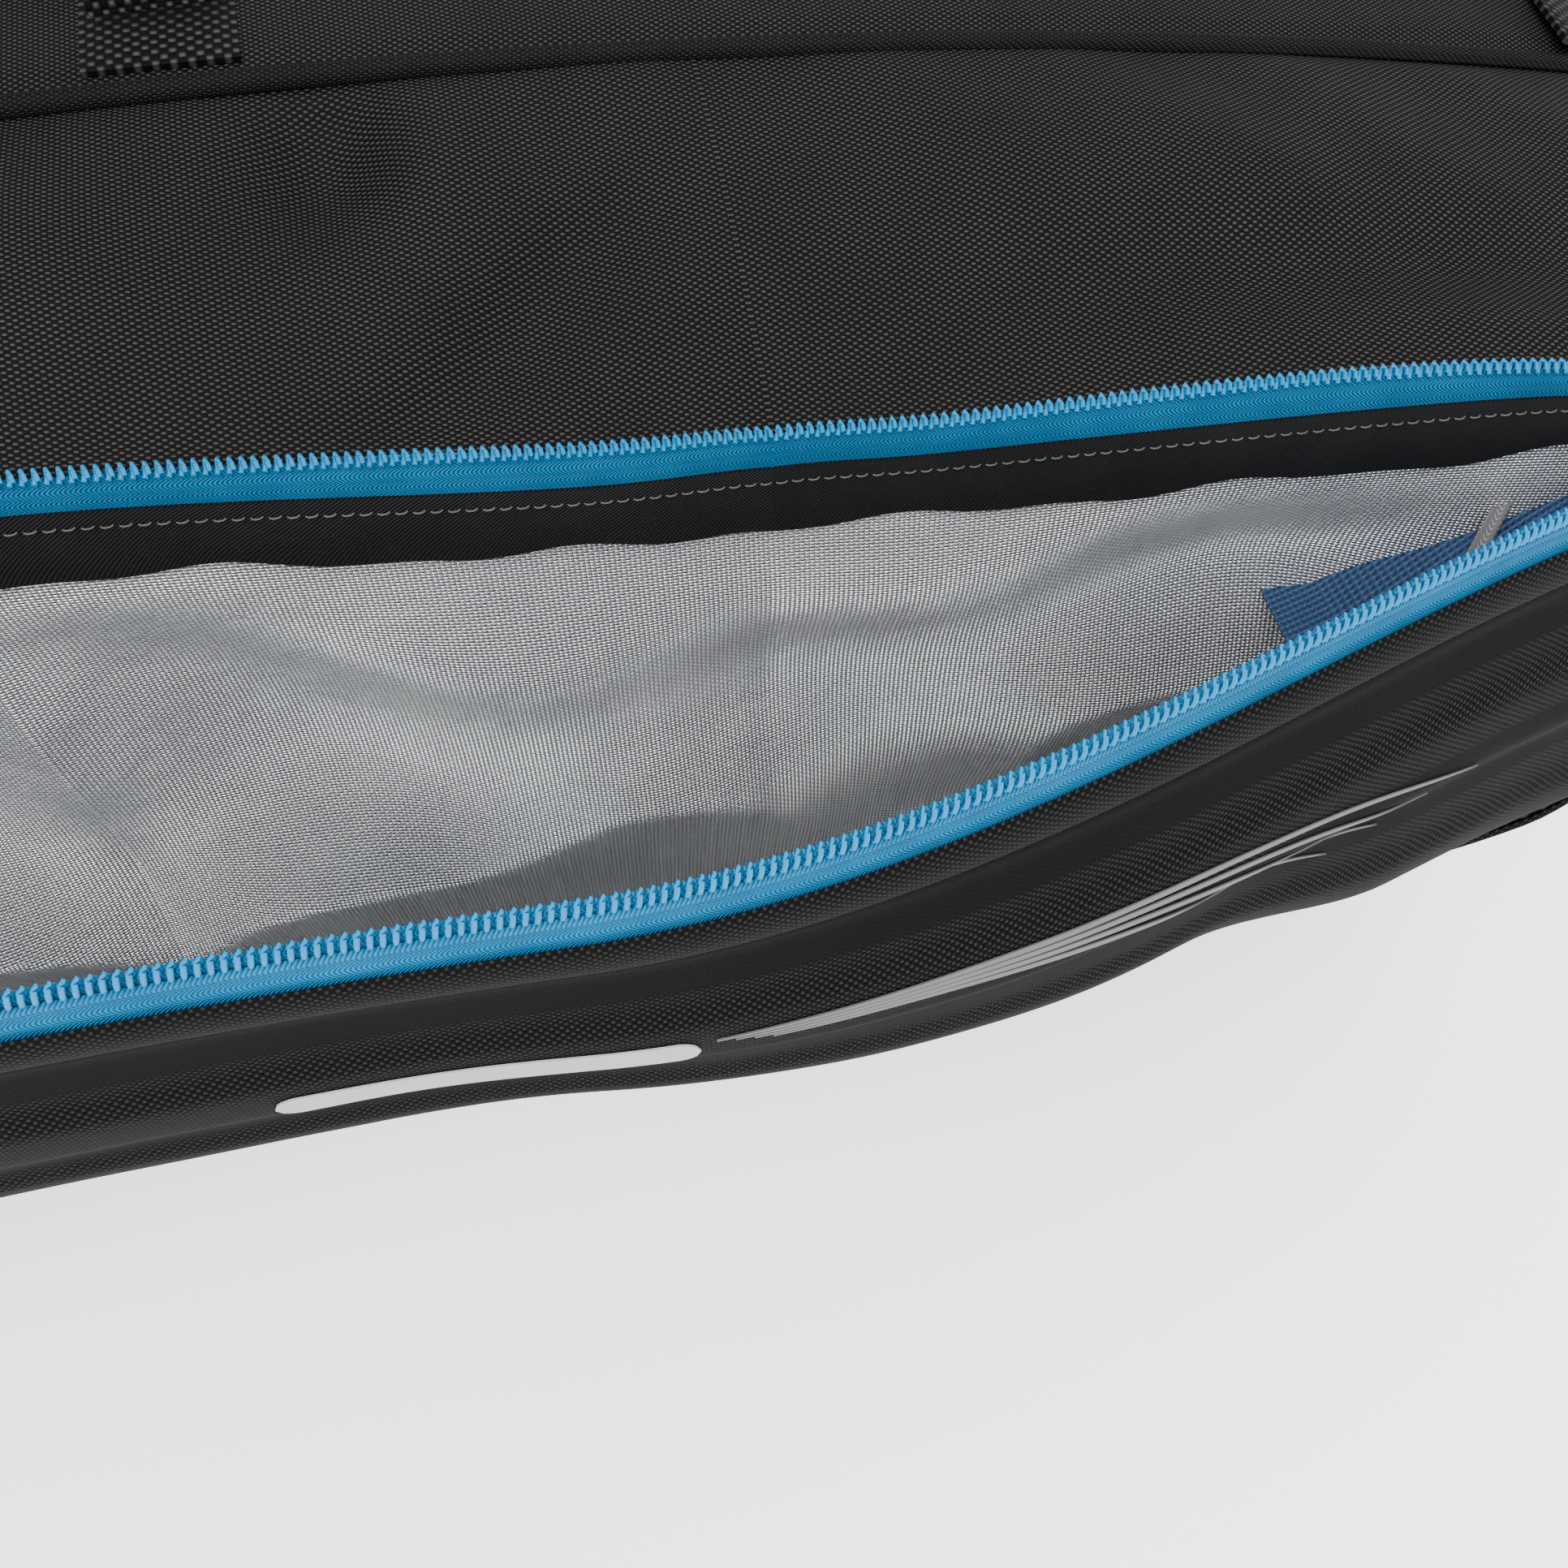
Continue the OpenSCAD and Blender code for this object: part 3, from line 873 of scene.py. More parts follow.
@dataclass
class MouthPart:
    """One stretch of the soft gusset behind the mouth, with its lip."""

    side: Side
    fold: Fold
    x0: float
    x1: float
    tape_w: float = 10.0
    binding_w: float = 17.0

    @property
    def outer(self) -> bool:
        """Whether this stretch reaches the bag's end."""
        return self.x1 > SPLIT

    @property
    def tag(self) -> str:
        """Name ending of this stretch."""
        return self.side.name.lower() + ("_end" if self.outer else "_mid")

    @property
    def first(self) -> bool:
        """Whether this stretch stands for the nodes of the flap."""
        return self.side is Side.RIGHT and not self.outer

    def lip(self, x: float) -> tuple[float, float]:
        """Closed place (y, z) of the lip's fold at x."""
        y, z = CURVE.at(lip_s(x))
        return y + 3.0, z + 1.5

    def creases(self, x: float, y: float) -> float:
        """Depth of the creases in the gusset cloth, mm, on the closed surface."""
        h = 1.2 * ripple(x, y)
        h -= 7.0 * bump_at(x, 84.0 + 0.15 * (y + 75), 13.0) * bump_at(y, -74.0, 15.0)
        h += 3.5 * bump_at(x, 104.0, 12.0) * bump_at(y, -76.0, 18.0)
        h -= 4.5 * bump_at(x, 100.0 + (y + 128.0) * 1.0, 15.0) * smooth((-80.0 - y) / 20.0)
        h += 2.5 * bump_at(x, 150.0, 34.0) * bump_at(y, -100.0, 22.0)
        h += 3.2 * bump_at(x, 20.0, 30.0) * bump_at(y, -95.0, 24.0)
        h += 3.6 * bump_at(x, 245.0, 38.0) * bump_at(y, -84.0, 24.0)
        h -= 6.0 * smooth((x - 200.0) / 60.0) * bump_at(y, -118.0, 14.0)
        return h

    def point(self, x: float, y: float, z: float) -> tuple[float, float, float]:
        """Rest place of a closed point on this half."""
        px, py, pz = self.fold.rest(self.side.value * x, y, z)
        return px, py, pz + 2.6 * bump_at(x, SPLIT, 22.0) * smooth((VALLEY - y) / 60.0)

    def build(self, b: Builder) -> None:
        """Make the gusset and its lip: tape, binding, coil and stitches."""
        s = self.side.value
        last = min(self.x1, OUT.half - 0.2)

        def gusset(u: float, v: float) -> tuple[float, float, float]:
            x = self.x0 + u * (last - self.x0)
            ly, lz = self.lip(x)
            y = VALLEY + (ly - VALLEY) * v
            z = OUT.top(x) + (lz - OUT.top(x)) * v ** 3
            damp = smooth(v / 0.12) * (1 - 0.85 * smooth((v - 0.86) / 0.14)) * smooth((396 - x) / 40.0)
            z += 3.0 * math.sin(math.pi * v) * damp + self.creases(x, y) * damp
            z -= 2.0 * bump_at(v, 0.0, 0.05)
            return self.point(x, y, z)

        count = int((last - self.x0) / 2)
        obj = lofted("mouth_gusset_" + self.tag, count, 56, gusset, (last - self.x0, 84.0), thick=1.6,
                     flip=s > 0)
        b.folded(obj, b.finish.cloth, self.fold,
                 ["flap_fabric"] if self.first else ())
        self._strip(b, "lip_tape_", 0.0, self.tape_w, -0.4, b.finish.tape, ["flap_tape"])
        self._strip(b, "lip_binding_", self.tape_w - 0.5, self.tape_w + self.binding_w, -1.3,
                    b.finish.binding, ["flap_binding"])
        self._coil(b)
        self._stitches(b)

    def hang(self, x: float, d: float, out: float) -> tuple[float, float, float]:
        """Rest place on the lip's inner face, d below the fold and out towards the mouth."""
        ly, lz = self.lip(x)
        rx, ry, rz = self.point(x, ly, lz)
        pucker = 1.5 * bump_at(x, 352.0, 16.0) * math.sin(x / 3.2) * smooth(d / 10.0)
        sway = 0.6 * math.sin(x / 23.0) * smooth(d / 12.0) + pucker
        shrink = 1.0 - 0.5 * smooth((x - 280.0) / 110.0)
        return rx, ry - 0.02 * d + out + sway, rz - d * shrink

    def _strip(self, b: Builder, name: str, d0: float, d1: float, out: float, mat: bpy.types.Material,
               replaces: Sequence[str]) -> None:
        """Make one flat strip of the lip's inner face."""
        def strip(u: float, v: float) -> tuple[float, float, float]:
            x = self.x0 + u * (min(self.x1, 386.0) - self.x0)
            d = d0 + (d1 - d0) * v
            if d1 > self.tape_w + 1:
                d += v * (1.1 * math.sin(x / 11.0) + 0.7 * math.sin(x / 5.3 + 1.0))
            round_edge = 0.5 * (1 - math.sin(math.pi * min(1.0, max(0.0, v))))
            return self.hang(x, d, out + round_edge)

        length = min(self.x1, 386.0) - self.x0
        obj = lofted(name + self.tag, int(length / 2), 8, strip, (length, d1 - d0), thick=0.9,
                     flip=self.side.value > 0)
        b.folded(obj, mat, self.fold, replaces if self.first else ())

    def _coil(self, b: Builder) -> None:
        """Make the row of coil on the lip's fold."""
        frames = []
        for i in range(int((min(self.x1, 382.0) - self.x0) / 2)):
            x = self.x0 + 1.0 + i * 2.0
            p = Vector(self.hang(x, 1.0, 0.0))
            q = Vector(self.hang(x + 1.0, 1.0, 0.0))
            ax = (q - p).normalized()
            down = Vector((0, -0.35, -0.94))
            frames.append((p + Vector((0, -0.2, 2.4)), ax, down, ax.cross(down) * self.side.value))
        rod = ((-0.5, 2.7, 0.3), (-0.3, 2.1, 0.9), (0.0, 0.8, 1.0), (0.2, -0.1, 0.7), (0.4, 0.2, -0.3),
               (0.5, 1.3, -0.5))
        coil = repeated("lip_coil_" + self.tag, rod, 0.5, frames)
        b.folded(coil, b.finish.coil, self.fold, ["flap_coil"] if self.first else ())

    def _stitches(self, b: Builder) -> None:
        """Make the row of stitches near the top of the binding."""
        frames = []
        for i in range(int((min(self.x1, 380.0) - self.x0) / 3.2)):
            x = self.x0 + 1.6 + i * 3.2
            p = Vector(self.hang(x, self.tape_w + 2.6, -1.6))
            frames.append((p, Vector((1, 0, 0)), Vector((0, 0, 1)), Vector((0, -1, 0))))
        rod = ((-1.1, 0.0, -0.2), (-0.5, 0.0, 0.2), (0.5, 0.0, 0.2), (1.1, 0.0, -0.2))
        obj = repeated("lip_stitches_" + self.tag, rod, 0.22, frames, sides=4)
        b.folded(obj, b.finish.thread, self.fold)


@dataclass
class LiningHalf:
    """Silver lining that hangs from the mouth's lip down to the floor, on one side."""

    side: Side
    reach: float = 368.0
    drop: float = 230.0
    top: float = 6.0
    floor_z: float = 36.0
    divider_y: float = -60.0
    loose_from: float = 20.0

    def folds(self, x: float, d: float) -> float:
        """Depth of the lining's soft folds, mm."""
        k = smooth(d / 40.0)
        return k * (8.0 * math.sin(x / 36.0 + d / 55.0) + 4.5 * math.sin(x / 19.0 - d / 30.0 + 0.8)
                    + 4.5 * math.sin(x / 55.0 + d / 17.0 + 2.0))

    def build(self, b: Builder) -> None:
        """Make the hanging lining."""
        mid = MouthPart(self.side, DROP_MID, 0.0, SPLIT)
        end = MouthPart(self.side, DROP_END, SPLIT, OUT.half)

        def curtain(u: float, v: float) -> tuple[float, float, float]:
            x = u * self.reach
            d = v * self.drop
            rx, ry, rz = (mid if x < SPLIT else end).hang(x, self.top, 1.2)
            z = rz - d * (rz - self.floor_z) / self.drop
            past = max(0.0, d - self.loose_from)
            y = ry + self.folds(x, past) * smooth((372 - x) / 30.0)
            y += 8.0 * smooth(past / 60.0) * smooth((260.0 - x) / 200.0)
            wall = CURVE.at(CURVE.s_at(z), -10.0)[0]
            return rx, max(wall, min(self.divider_y, y)), z

        obj = lofted("lining_" + self.side.name.lower(), 150, 80, curtain, (self.reach, self.drop), thick=0.8,
                     flip=self.side.value > 0)
        b.fixed(obj, b.finish.lining,
                replaces=["front_lining"] if self.side is Side.RIGHT else ())


@dataclass
class PanelHalf:
    """One half of the moulded panel, with the lip that closes against the gusset."""

    side: Side
    moving: bool = True
    tape_w: float = 11.0
    hem_w: float = 7.0

    @property
    def tag(self) -> str:
        """Name ending of this half."""
        return ("front_" if self.moving else "rear_") + self.side.name.lower()

    def shape(self, x: float, d: float, out: float) -> tuple[float, float, float]:
        """Place of a point d below the zip's middle, moved outwards.

        Args:
            x: distance from the bag's middle, mm.
            d: distance down the panel from the zip, mm.
            out: distance outwards, mm.

        Returns:
            The point at rest, mm, on this half and this side of the bag.
        """
        y, z = CURVE.at(lip_s(x) + d, out)
        if self.moving:
            return SWING.rest(self.side.value * x, y, z)
        return self.side.value * x, -y, z

    def ridge(self, x: float, d: float) -> float:
        """Height of the pressed bands at d, mm."""
        if d < self.tape_w + self.hem_w:
            return 0.0
        fade = smooth((d - 18.0) / 6.0) * smooth((150.0 - d) / 30.0)
        return fade * (1.6 * math.tanh(2.5 * math.sin((d) * math.pi / 21.0)) + 0.15 * ripple(x, d))

    def swell(self, x: float, d: float) -> float:
        """How far the pressed panel stands out from its plain curve, mm."""
        along = -4.5 + 19.5 * smooth((x - 60.0) / 170.0) - 15.0 * smooth((x - 345.0) / 53.0)
        low = smooth((x - 235.0) / 55.0) * smooth((399.0 - x) / 22.0) * smooth((d - 45.0) / 60.0)
        low *= 10.0 * (1.0 - smooth((d - 235.0) / 50.0))
        return low + along * math.sin(math.pi * min(1.0, max(0.0, (d - 10.0) / 200.0)))

    def depth(self, x: float) -> float:
        """Distance from the zip to the panel's lower edge at x."""
        low = max(HINGE[1], OUT.bottom(x, 2.0))
        return CURVE.s_at(low) - lip_s(x)

    def sheet(self, name: str, d0: float, d1: Optional[float], out: float, nu: int, nv: int, thick: float,
              x1: float = 398.0, edge: float = 0.0) -> bpy.types.Object:
        """Make a sheet that follows the panel from d0 to d1 below the zip."""
        rel = max(40.0, (d1 if d1 is not None else 300.0) - d0)

        def place(u: float, v: float) -> tuple[float, float, float]:
            x = min(u * x1, x1)
            last = self.depth(x) if d1 is None else min(d1, self.depth(x))
            d = d0 + (last - d0) * v
            lift = out + self.ridge(x, d) + self.swell(x, d)
            lift += edge * math.sqrt(max(0.0, 1 - (2 * v - 1) ** 2))
            return self.shape(x, d, lift)

        flip = (self.side.value > 0) == self.moving
        return lofted(name + self.tag, nu, nv, place, (x1, rel if d1 is None else d1 - d0), thick=thick,
                      flip=flip)

    def put(self, b: Builder, obj: bpy.types.Object, mat: bpy.types.Material,
            front: Sequence[str] = (), rear: Sequence[str] = ()) -> None:
        """Dress a sheet; one of the moving panel has its placement baked, one of the rear is held on the
        shell.
        """
        nodes = (front if self.moving else rear) if self.side is Side.RIGHT else ()
        if self.moving:
            b.folded(obj, mat, SWING, nodes)
        else:
            b.fixed(obj, mat, replaces=nodes)

    def build(self, b: Builder) -> None:
        """Make the panel, its lining, hem, tape and coil."""
        f = b.finish
        start = self.tape_w + self.hem_w - 2.0
        obj = self.sheet("panel_cover_", start, None, 0.0, 160, 150, 3.5)
        self.put(b, obj, f.panel, ["front_panel"], ["rear_panel"])
        obj = self.sheet("panel_hem_", self.tape_w - 0.5, self.tape_w + self.hem_w, 1.0, 160, 10, 1.6,
                         392.0, 1.6)
        self.put(b, obj, f.hem, ["front_hem"], ["rear_hem"])
        self.base_strip(b)
        if not self.moving:
            return
        obj = self.sheet("panel_inside_", 8.0, None, -4.6, 120, 40, 0.8, 390.0)
        self.put(b, obj, f.lining, ["panel_lining"])
        obj = self.sheet("panel_tape_", 1.2, self.tape_w + 1.0, 0.0, 190, 10, 0.9, 388.0)
        self.put(b, obj, f.tape, ["panel_tape"])
        obj = self.sheet("panel_cord_", 3.6, 5.4, 0.3, 190, 6, 0.8, 388.0, 0.9)
        self.put(b, obj, f.tape)
        self._coil(b)

    def base_top(self, x: float) -> float:
        """Distance below the zip of the seam between panel and base cloth."""
        seam_z = 66.0 + 140.0 * smooth((x - 215.0) / 185.0)
        return CURVE.s_at(seam_z) - lip_s(x)

    def base_strip(self, b: Builder) -> None:
        """Make the coarse cloth and the piping under the moulded part."""
        for name, mat, lift, wide in (("base_strip_", b.finish.base, 1.4, None),
                                      ("base_piping_", b.finish.hem, 1.6, 3.4)):
            def place(u: float, v: float, lift: float = lift,
                      wide: Optional[float] = wide) -> tuple[float, ...]:
                x = u * 397.6
                d0 = self.base_top(x) - (wide or 0.0) / 2
                d1 = self.depth(x) if wide is None else d0 + wide
                d = d0 + (d1 - d0) * v
                h = lift + self.swell(x, d) + (1.4 * math.sin(math.pi * v) if wide else 0.0)
                return self.shape(x, d, h)

            flip = (self.side.value > 0) == self.moving
            obj = lofted(name + self.tag, 130, 30 if wide is None else 6, place, (398.0, wide or 90.0),
                         thick=1.2, flip=flip)
            self.put(b, obj, mat)

    def _coil(self, b: Builder) -> None:
        """Make the row of coil on the panel's lip."""
        frames = []
        s = self.side.value
        for i in range(190):
            x = 1.0 + i * 2.0
            p = Vector(self.shape(x, 0.0, 0.3))
            ax = (Vector(self.shape(x + 1.0, 0.0, 0.3)) - p).normalized()
            down = (Vector(self.shape(x, 3.0, 0.3)) - p).normalized()
            frames.append((p, ax, down, ax.cross(down) * -s))
        rod = ((-0.5, 3.1, 0.2), (-0.35, 2.4, 1.0), (-0.1, 1.1, 1.2), (0.1, 0.0, 0.9), (0.3, -0.2, 0.0),
               (0.5, 1.0, -0.5))
        coil = repeated("panel_coil_" + self.tag, rod, 0.52, frames)
        self.put(b, coil, b.finish.coil, ["panel_coil"])

    def print_band(self, b: Builder, name: str, line: Callable[[float], tuple[float, float, float]],
                   mat: bpy.types.Material) -> None:
        """Lay one printed shape on the panel.

        Args:
            b: the builder.
            name: name of the piece.
            line: gives x, upper d and lower d of the print for t from 0 to 1, mm.
            mat: its material.
        """
        def place(u: float, v: float) -> tuple[float, float, float]:
            x, d0, d1 = line(u)
            d = d0 + (d1 - d0) * v
            return self.shape(x, d, self.ridge(x, d) + self.swell(x, d) + 0.5)

        flip = (self.side.value > 0) == self.moving
        obj = lofted(name, 90, 8, place, (200.0, 10.0), thick=0.35, flip=flip)
        b.folded(obj, mat, SWING)


# ---- Straps, handles and small parts ----------------------------------------------------------------


@dataclass
class Handles:
    """Webbing loops: two carry handles with a wrap and one end handle."""

    lean: float = 15.0
    height: float = 88.0
    span: float = 116.0
    width: float = 24.0

    def loop_path(self, span: float, height: float, width: float) -> list[tuple[float, float]]:
        """Middle line of a loop with round shoulders."""
        r = 22.0 if height > 60 else 16.0
        h = height - width / 2
        pts = [(-span / 2, t * (h - r) / 6) for t in range(7)]
        for i in range(1, 8):
            a = math.pi - i * math.pi / 16
            pts.append((-span / 2 + r + r * math.cos(a), h - r + r * math.sin(a)))
        return pts + [(-x, z) for x, z in reversed(pts)]

    def webbing(self, name: str, path: Sequence[tuple[float, float]], width: float, thick: float,
                to_world: Callable[[float, float, float], tuple[float, float, float]]) -> bpy.types.Object:
        """Make a flat woven band along a path that lies in the band's own plane."""
        n = len(path) - 1
        length = sum(math.dist(a, b) for a, b in zip(path, path[1:]))

        def place(u: float, v: float) -> tuple[float, float, float]:
            i = min(n, int(round(u * n)))
            ax, az = path[i]
            bx, bz = path[min(n, i + 1)]
            px, pz = path[max(0, i - 1)]
            tx, tz = bx - px, bz - pz
            k = math.hypot(tx, tz)
            w = (v - 0.5) * width
            return to_world(ax - tz / k * w, 0.0, az + tx / k * w)

        obj = lofted(name, n, 10, place, (length, width))
        modify(obj, "SOLIDIFY", thickness=thick * MM, offset=0.0)
        modify(obj, "BEVEL", width=0.5 * MM, segments=2, limit_method="ANGLE")
        clean(obj, 1e-6)
        return obj

    def build(self, b: Builder) -> None:
        """Make all loops and the grip wrap."""
        for name, node, sy, body in (("carry_loop_front", "handle_front", -1, "front_handle"),
                                     ("carry_loop_rear", "handle_rear", 1, "rear_handle")):
            a = math.radians(self.lean * sy)

            def world(x: float, y: float, z: float, sy: int = sy, a: float = a) -> tuple[float, float, float]:
                return (x, sy * 34.0 + y * math.cos(a) - z * math.sin(a),
                        OUT.crown + 3.6 + y * math.sin(a) + z * math.cos(a))

            path = self.loop_path(self.span, self.height, self.width)
            obj = self.webbing(name, path, self.width, 2.8, world)
            b.fixed(obj, b.finish.webbing, body, [node])
            if sy < 0:
                top = self.height - self.width / 2

                def wrap(u: float, v: float) -> tuple[float, float, float]:
                    t = v * 2 * math.pi
                    x = (2 * u - 1) * 30.0
                    k = 0.0 if u in (0.0, 1.0) else 1.0 - 0.12 * bump_at(abs(x), 30.0, 4.0)
                    return world(x, 5.4 * k * math.sin(t), top + 15.6 * k * math.cos(t))

                obj = lofted("grip_wrap", 24, 28, wrap, (60.0, 70.0))
                b.fixed(obj, b.finish.hem, body, ["handle_wrap"])
        path = self.loop_path(120.0, 46.0, self.width)

        def end_world(x: float, y: float, z: float) -> tuple[float, float, float]:
            return OUT.half + 4.0 + z, y, 170.0 - x

        obj = self.webbing("end_loop", path, self.width, 2.8, end_world)
        b.fixed(obj, b.finish.webbing, "end_handle", ["end_handle"])


@dataclass
class WebbingPatch:
    """A sewn end of webbing, made as a flat patch."""

    node: str

    def build(self, b: Builder) -> None:
        """Make the patch in the box of its node."""
        low, high = (Vector(c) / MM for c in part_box(self.node))
        size = high - low
        thin = min(range(3), key=lambda i: size[i])
        wide = [i for i in range(3) if i != thin]
        mid = (low + high) / 2
        tilt = 0.0
        if thin == 2:
            tilt = (OUT.top(mid.x + 1) - OUT.top(mid.x - 1)) / 2

        def place(u: float, v: float) -> tuple[float, float, float]:
            p = Vector(mid)
            p[wide[0]] += (u - 0.5) * size[wide[0]]
            p[wide[1]] += (v - 0.5) * size[wide[1]]
            edge = min(u, 1 - u, v, 1 - v)
            p[thin] += 0.5 * smooth(edge / 0.15)
            if thin == 2:
                p.z += (p.x - mid.x) * tilt
            return tuple(p)

        obj = lofted(self.node + "_patch", 16, 16, place, (size[wide[0]], size[wide[1]]), thick=1.4)
        b.fixed(obj, b.finish.webbing, replaces=[self.node])


@dataclass
class BackStraps:
    """Two shoulder straps that lie along the rear panel."""

    length: float = 330.0
    width: float = 66.0
    thick: float = 10.0

    def world(self, x: float, out: float, up: float) -> tuple[float, float, float]:
        """Place on the straight part of the rear panel."""
        a = math.radians(CURVE.lean)
        return (x, -HINGE[0] + out * math.cos(a) + up * math.sin(a),
                HINGE[1] - out * math.sin(a) + up * math.cos(a))

    def build(self, b: Builder) -> None:
        """Make the pads and the webbing."""
        for tag, up in (("upper", 150.0), ("lower", 60.0)):
            def pad(u: float, v: float, up: float = up) -> tuple[float, float, float]:
                t = v * 2 * math.pi
                x = (2 * u - 1) * self.length / 2
                left = self.length / 2 - abs(x)
                k = math.sqrt(max(0.0, 1 - (1 - min(1.0, left / 24.0)) ** 2))
                w = (self.width / 2) * (0.35 + 0.65 * k) * (1.0 if left > 0 else 0.0)
                c, s = math.cos(t), math.sin(t)
                sq = math.copysign(abs(c) ** 0.6, c)
                h = self.thick / 2 * math.copysign(abs(s) ** 0.7, s) * (0.4 + 0.6 * k)
                h *= 1 if left > 0 else 0
                h *= 1.0 - 0.16 * bump_at(abs(sq), 0.8, 0.06)
                h += 0.25 * math.sin(x / 9.0) * (1 - k)
                return self.world(-95.0 + x, 4.3 + self.thick / 2 + h, up + w * sq)

            obj = lofted("shoulder_pad_" + tag, 90, 44, pad, (self.length, 150.0))
            b.fixed(obj, b.finish.hem, replaces=["strap_pad_" + tag])

            def web(u: float, v: float, up: float = up) -> tuple[float, float, float]:
                x = 69.0 + 208.0 * u
                return self.world(x, 6.0 + 0.15 * math.sin(x / 12.0), up + (v - 0.5) * 38.0)

            obj = lofted("strap_band_" + tag, 60, 10, web, (208.0, 38.0), thick=1.8, flip=True)
            b.fixed(obj, b.finish.webbing, replaces=["strap_webbing_" + tag])


@dataclass
class MouthEnd:
    """Blue mesh and elastic ribbons inside the right end of the mouth."""

    inner: float = 276.0
    outer: float = 390.0

    def net(self, u: float, v: float) -> tuple[float, float, float]:
        """Place on the mesh; u runs outwards and v from the bag's end to the middle."""
        x = self.outer + (self.inner - self.outer) * v
        z = 258.0 + 22.0 * math.sin(math.pi * min(1.0, v * 1.1)) - 26.0 * v - 5.0 * math.sin(math.pi * u)
        panel = PanelHalf(Side.RIGHT)
        far = panel.shape(x, CURVE.s_at(z) - lip_s(x), -7.0)[1]
        return x, -64.0 + (far + 64.0) * u, z

    def build(self, b: Builder) -> None:
        """Make the mesh and its ribbons."""
        obj = lofted("end_mesh", 50, 40, self.net, (110.0, 130.0), thick=0.8)
        self._stretch(b, obj, b.finish.mesh, "pocket_mesh", "mesh_pocket")
        for name, t0, t1, w in (("ribbon_upper", 0.86, 0.22, 0.05), ("ribbon_lower", 0.62, 0.04, 0.05)):
            def ribbon(u: float, v: float, t0: float = t0, t1: float = t1, w: float = w) -> tuple[float, ...]:
                x, y, z = self.net(0.97 - 0.55 * u, t0 + (t1 - t0) * u + (v - 0.5) * w)
                return x, y, z + 2.6 + 5.0 * math.sin(math.pi * u)

            obj = lofted(name + "_band", 30, 4, ribbon, (90.0, 6.0), thick=0.9)
            self._stretch(b, obj, b.finish.elastic, "elastic", name)

    @staticmethod
    def _stretch(b: Builder, obj: bpy.types.Object, mat: bpy.types.Material, slot: str, node: str) -> None:
        """Dress a piece across the mouth and bake its placement into its mesh."""
        b.dress(obj, mat, [node])
        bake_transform(obj)


class HardParts:
    """CAD nodes whose shape is right and which only need their finish."""

    @staticmethod
    def build(b: Builder) -> None:
        """Give each carried-over node its material."""
        f = b.finish
        table = {f.rubber: ["foot_front_left", "foot_front_right", "foot_rear_left", "foot_rear_right",
                            "foot_middle"],
                 f.board: ["base_board"], f.cloth: ["base_panel", "divider_front", "divider_rear"],
                 f.tape: ["end_chain_left", "end_chain_right"],
                 f.enamel: ["front_slider_right", "front_slider_left", "centre_slider", "rear_slider"],
                 f.steel: ["front_pull_right", "front_pull_left", "centre_pull", "rear_pull"],
                 f.plastic: ["adjuster_upper", "adjuster_lower"], f.ring: ["ring_left", "ring_right"]}
        for mat, names in table.items():
            for name in names:
                obj = frame["nodes"][name]
                obj.data.materials.clear()
                obj.data.materials.append(mat)


@dataclass
class Studio:
    """Floor, lights and camera."""

    eye: tuple[float, float, float] = (110.2, -364.4, 559.3)
    elevation: float = 58.0
    yaw: float = 12.5
    lens: float = 41.0

    def build(self, b: Builder) -> None:
        """Set up what the bag is seen with."""
        deselect()
        bpy.ops.mesh.primitive_plane_add(size=12.0, location=(0, 0, -0.0005))
        floor = bpy.context.object
        floor.name = "floor"
        floor.data.materials.append(b.finish.floor)
        self._light("key", (-0.4, -1.2, 1.9), 1.2, 85.0)
        self._light("top", (0.3, 0.35, 2.2), 1.6, 40.0)
        self._light("fill", (1.6, -0.9, 0.9), 1.2, 16.0)
        world = bpy.data.worlds.new("studio")
        bpy.context.scene.world = world
        world.use_nodes = True
        world.node_tree.nodes["Background"].inputs[0].default_value = (1, 1, 1, 1)
        world.node_tree.nodes["Background"].inputs[1].default_value = 1.15
        cam = bpy.data.cameras.new("camera")
        cam.lens = self.lens
        cam.sensor_width = 36.0
        cam.clip_start = 0.01
        obj = bpy.data.objects.new("camera", cam)
        bpy.context.collection.objects.link(obj)
        e, w = math.radians(self.elevation), math.radians(self.yaw)
        aim = Vector((math.sin(w) * math.cos(e), math.cos(w) * math.cos(e), -math.sin(e)))
        obj.location = Vector(self.eye) * MM
        obj.rotation_euler = aim.to_track_quat("-Z", "Y").to_euler()
        bpy.context.scene.camera = obj

    @staticmethod
    def _light(name: str, place: tuple[float, float, float], size: float, power: float) -> None:
        """Add one soft light aimed at the bag."""
        data = bpy.data.lights.new(name, "AREA")
        data.size = size
        data.energy = power
        obj = bpy.data.objects.new(name, data)
        bpy.context.collection.objects.link(obj)
        obj.location = place
        obj.rotation_euler = (Vector((0, -0.1, 0.3)) - Vector(place)).to_track_quat("-Z", "Y").to_euler()


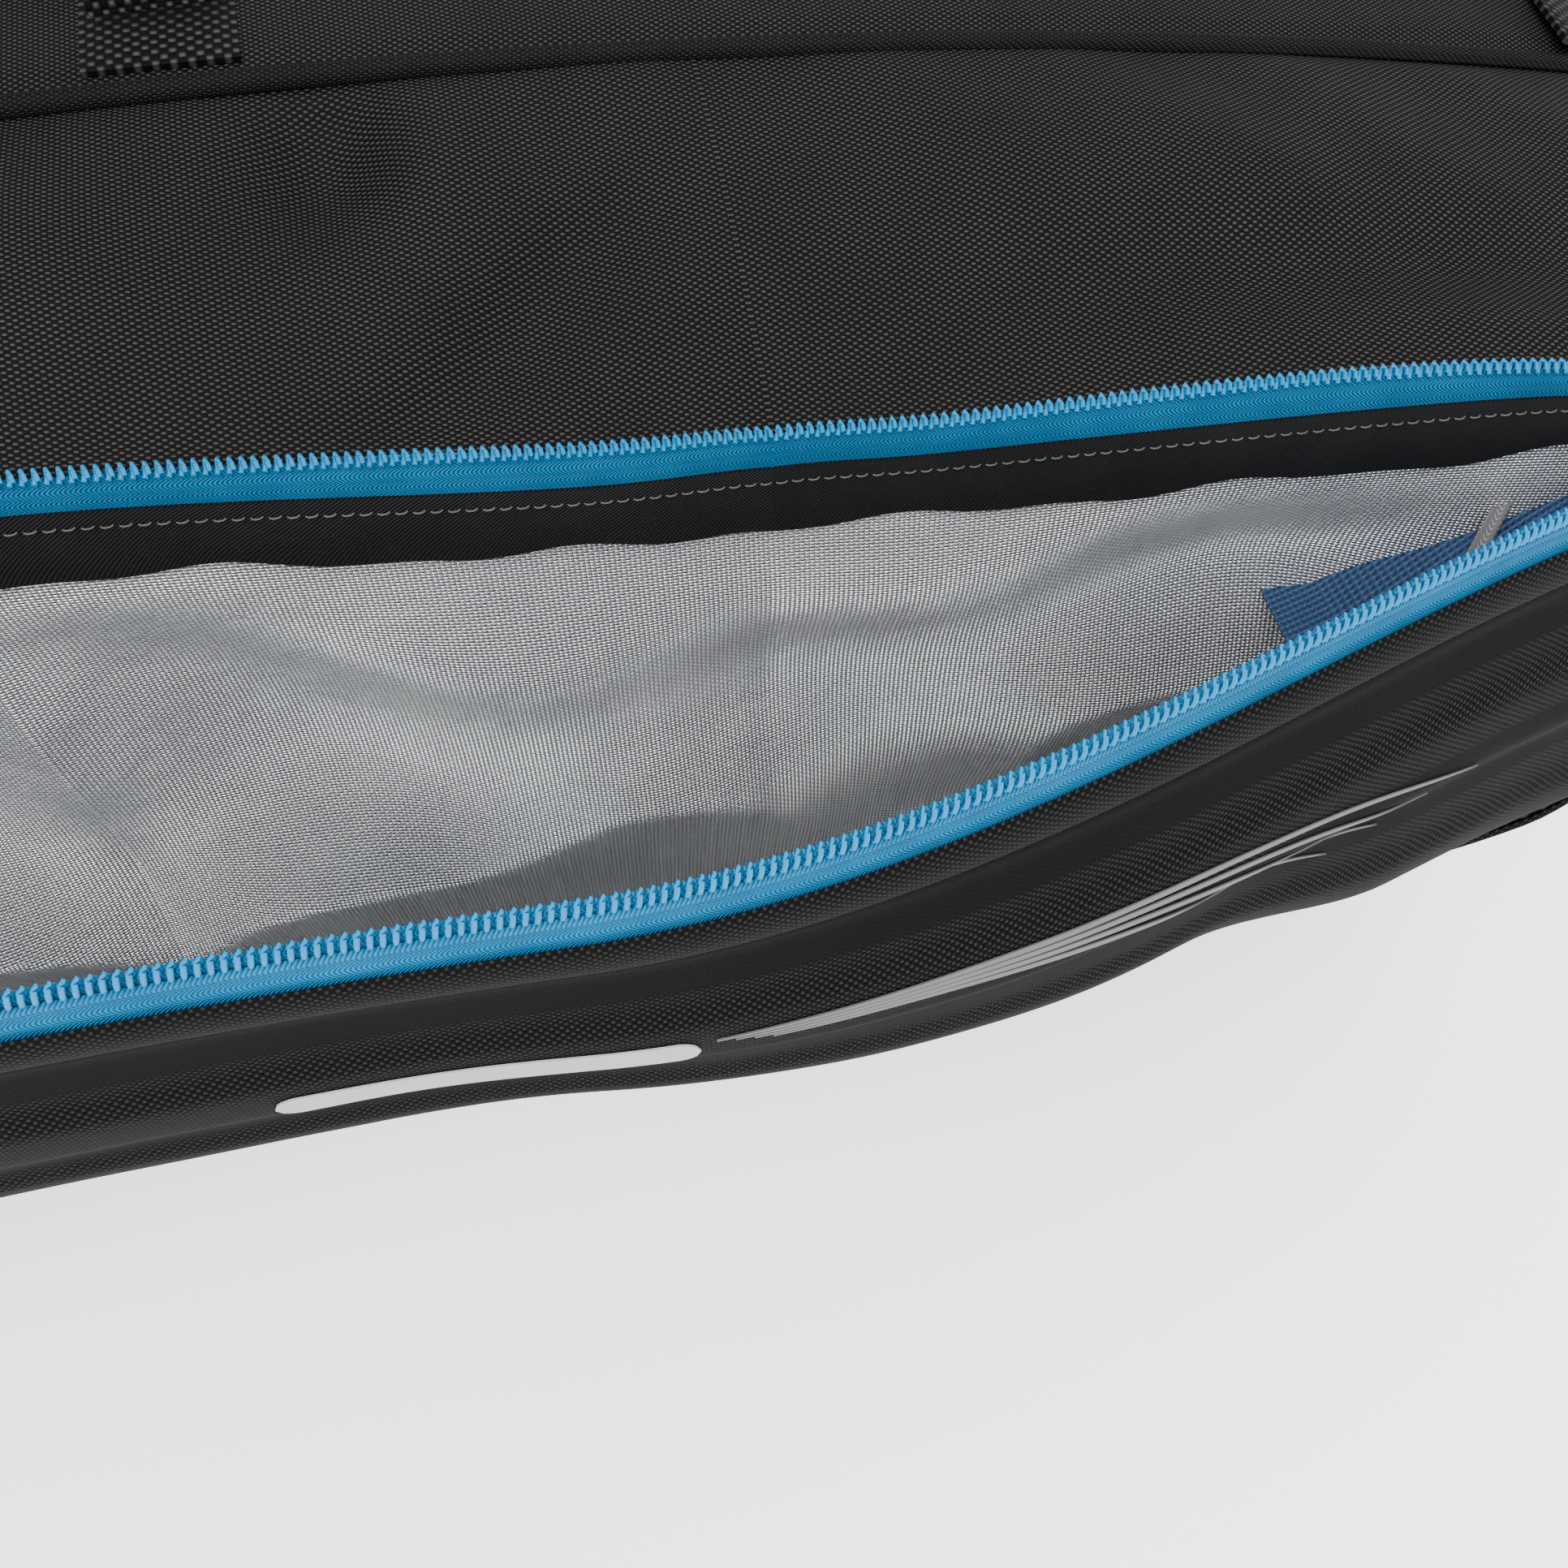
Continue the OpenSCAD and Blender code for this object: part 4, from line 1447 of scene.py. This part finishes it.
def lay_prints(b: Builder, half: PanelHalf) -> None:
    """Lay the plain stripes and the patch on the right half of the panel."""
    for i in range(4):
        def line(t: float, i: int = i) -> tuple[float, float, float]:
            first, last = 50.0 + 0.8 * i, 60.0 + 4.3 * i
            mid = 2.0 * (47.0 + 2.6 * i) - (first + last) / 2
            x = 127.0 + 3.5 * i + t * (171.0 - 15.0 * i)
            d = first * (1 - t) ** 2 + 2 * mid * t * (1 - t) + last * t * t
            w = 1.7 * math.sin(math.pi * min(1.0, max(0.0, 0.04 + 0.96 * t))) ** 0.6
            return x, d, d + w + 0.02
        half.print_band(b, f"print_stripe_{i + 1}", line, b.finish.stripe)

    def patch(t: float) -> tuple[float, float, float]:
        x = 48.0 + t * 76.0
        k = math.sqrt(max(0.0, 1 - max(0.0, abs(2 * t - 1) * 40.0 - 35.0) ** 2 / 25.0))
        return x, 54.0 - 4.5 * k, 54.0 + 4.5 * k + 0.02

    half.print_band(b, "print_patch", patch, b.finish.print)


def main() -> None:
    """Build the bag in order."""
    logging.basicConfig(level=logging.INFO, format="%(message)s")
    b = Builder()
    Studio().build(b)
    HardParts.build(b)
    CentreCompartment().build(b)
    OuterCover("front_cover", -1.0).build(b, ["front_gusset"])
    OuterCover("rear_cover", 1.0, whole=True).build(b, ["rear_gusset"])
    PipedSeam("front_piping", -52.5).build(b)
    PipedSeam("rear_piping", 52.5).build(b)
    for side in Side:
        MouthPart(side, DROP_MID, 0.0, SPLIT).build(b)
        MouthPart(side, DROP_END, SPLIT, OUT.half).build(b)
        LiningHalf(side).build(b)
        panel = PanelHalf(side)
        panel.build(b)
        if side is Side.RIGHT:
            lay_prints(b, panel)
        PanelHalf(side, moving=False).build(b)
    Chain("rear", 130.0).build(b, ["rear_chain"])
    MouthEnd().build(b)
    Handles().build(b)
    for node in ("zip_tab_right", "anchor_front_left", "anchor_front_right", "anchor_rear_left",
                 "anchor_rear_right", "end_patch_upper", "end_patch_lower", "ring_tab_left",
                 "ring_tab_right"):
        WebbingPatch(node).build(b)
    BackStraps().build(b)


if __name__ == "__main__":
    main()
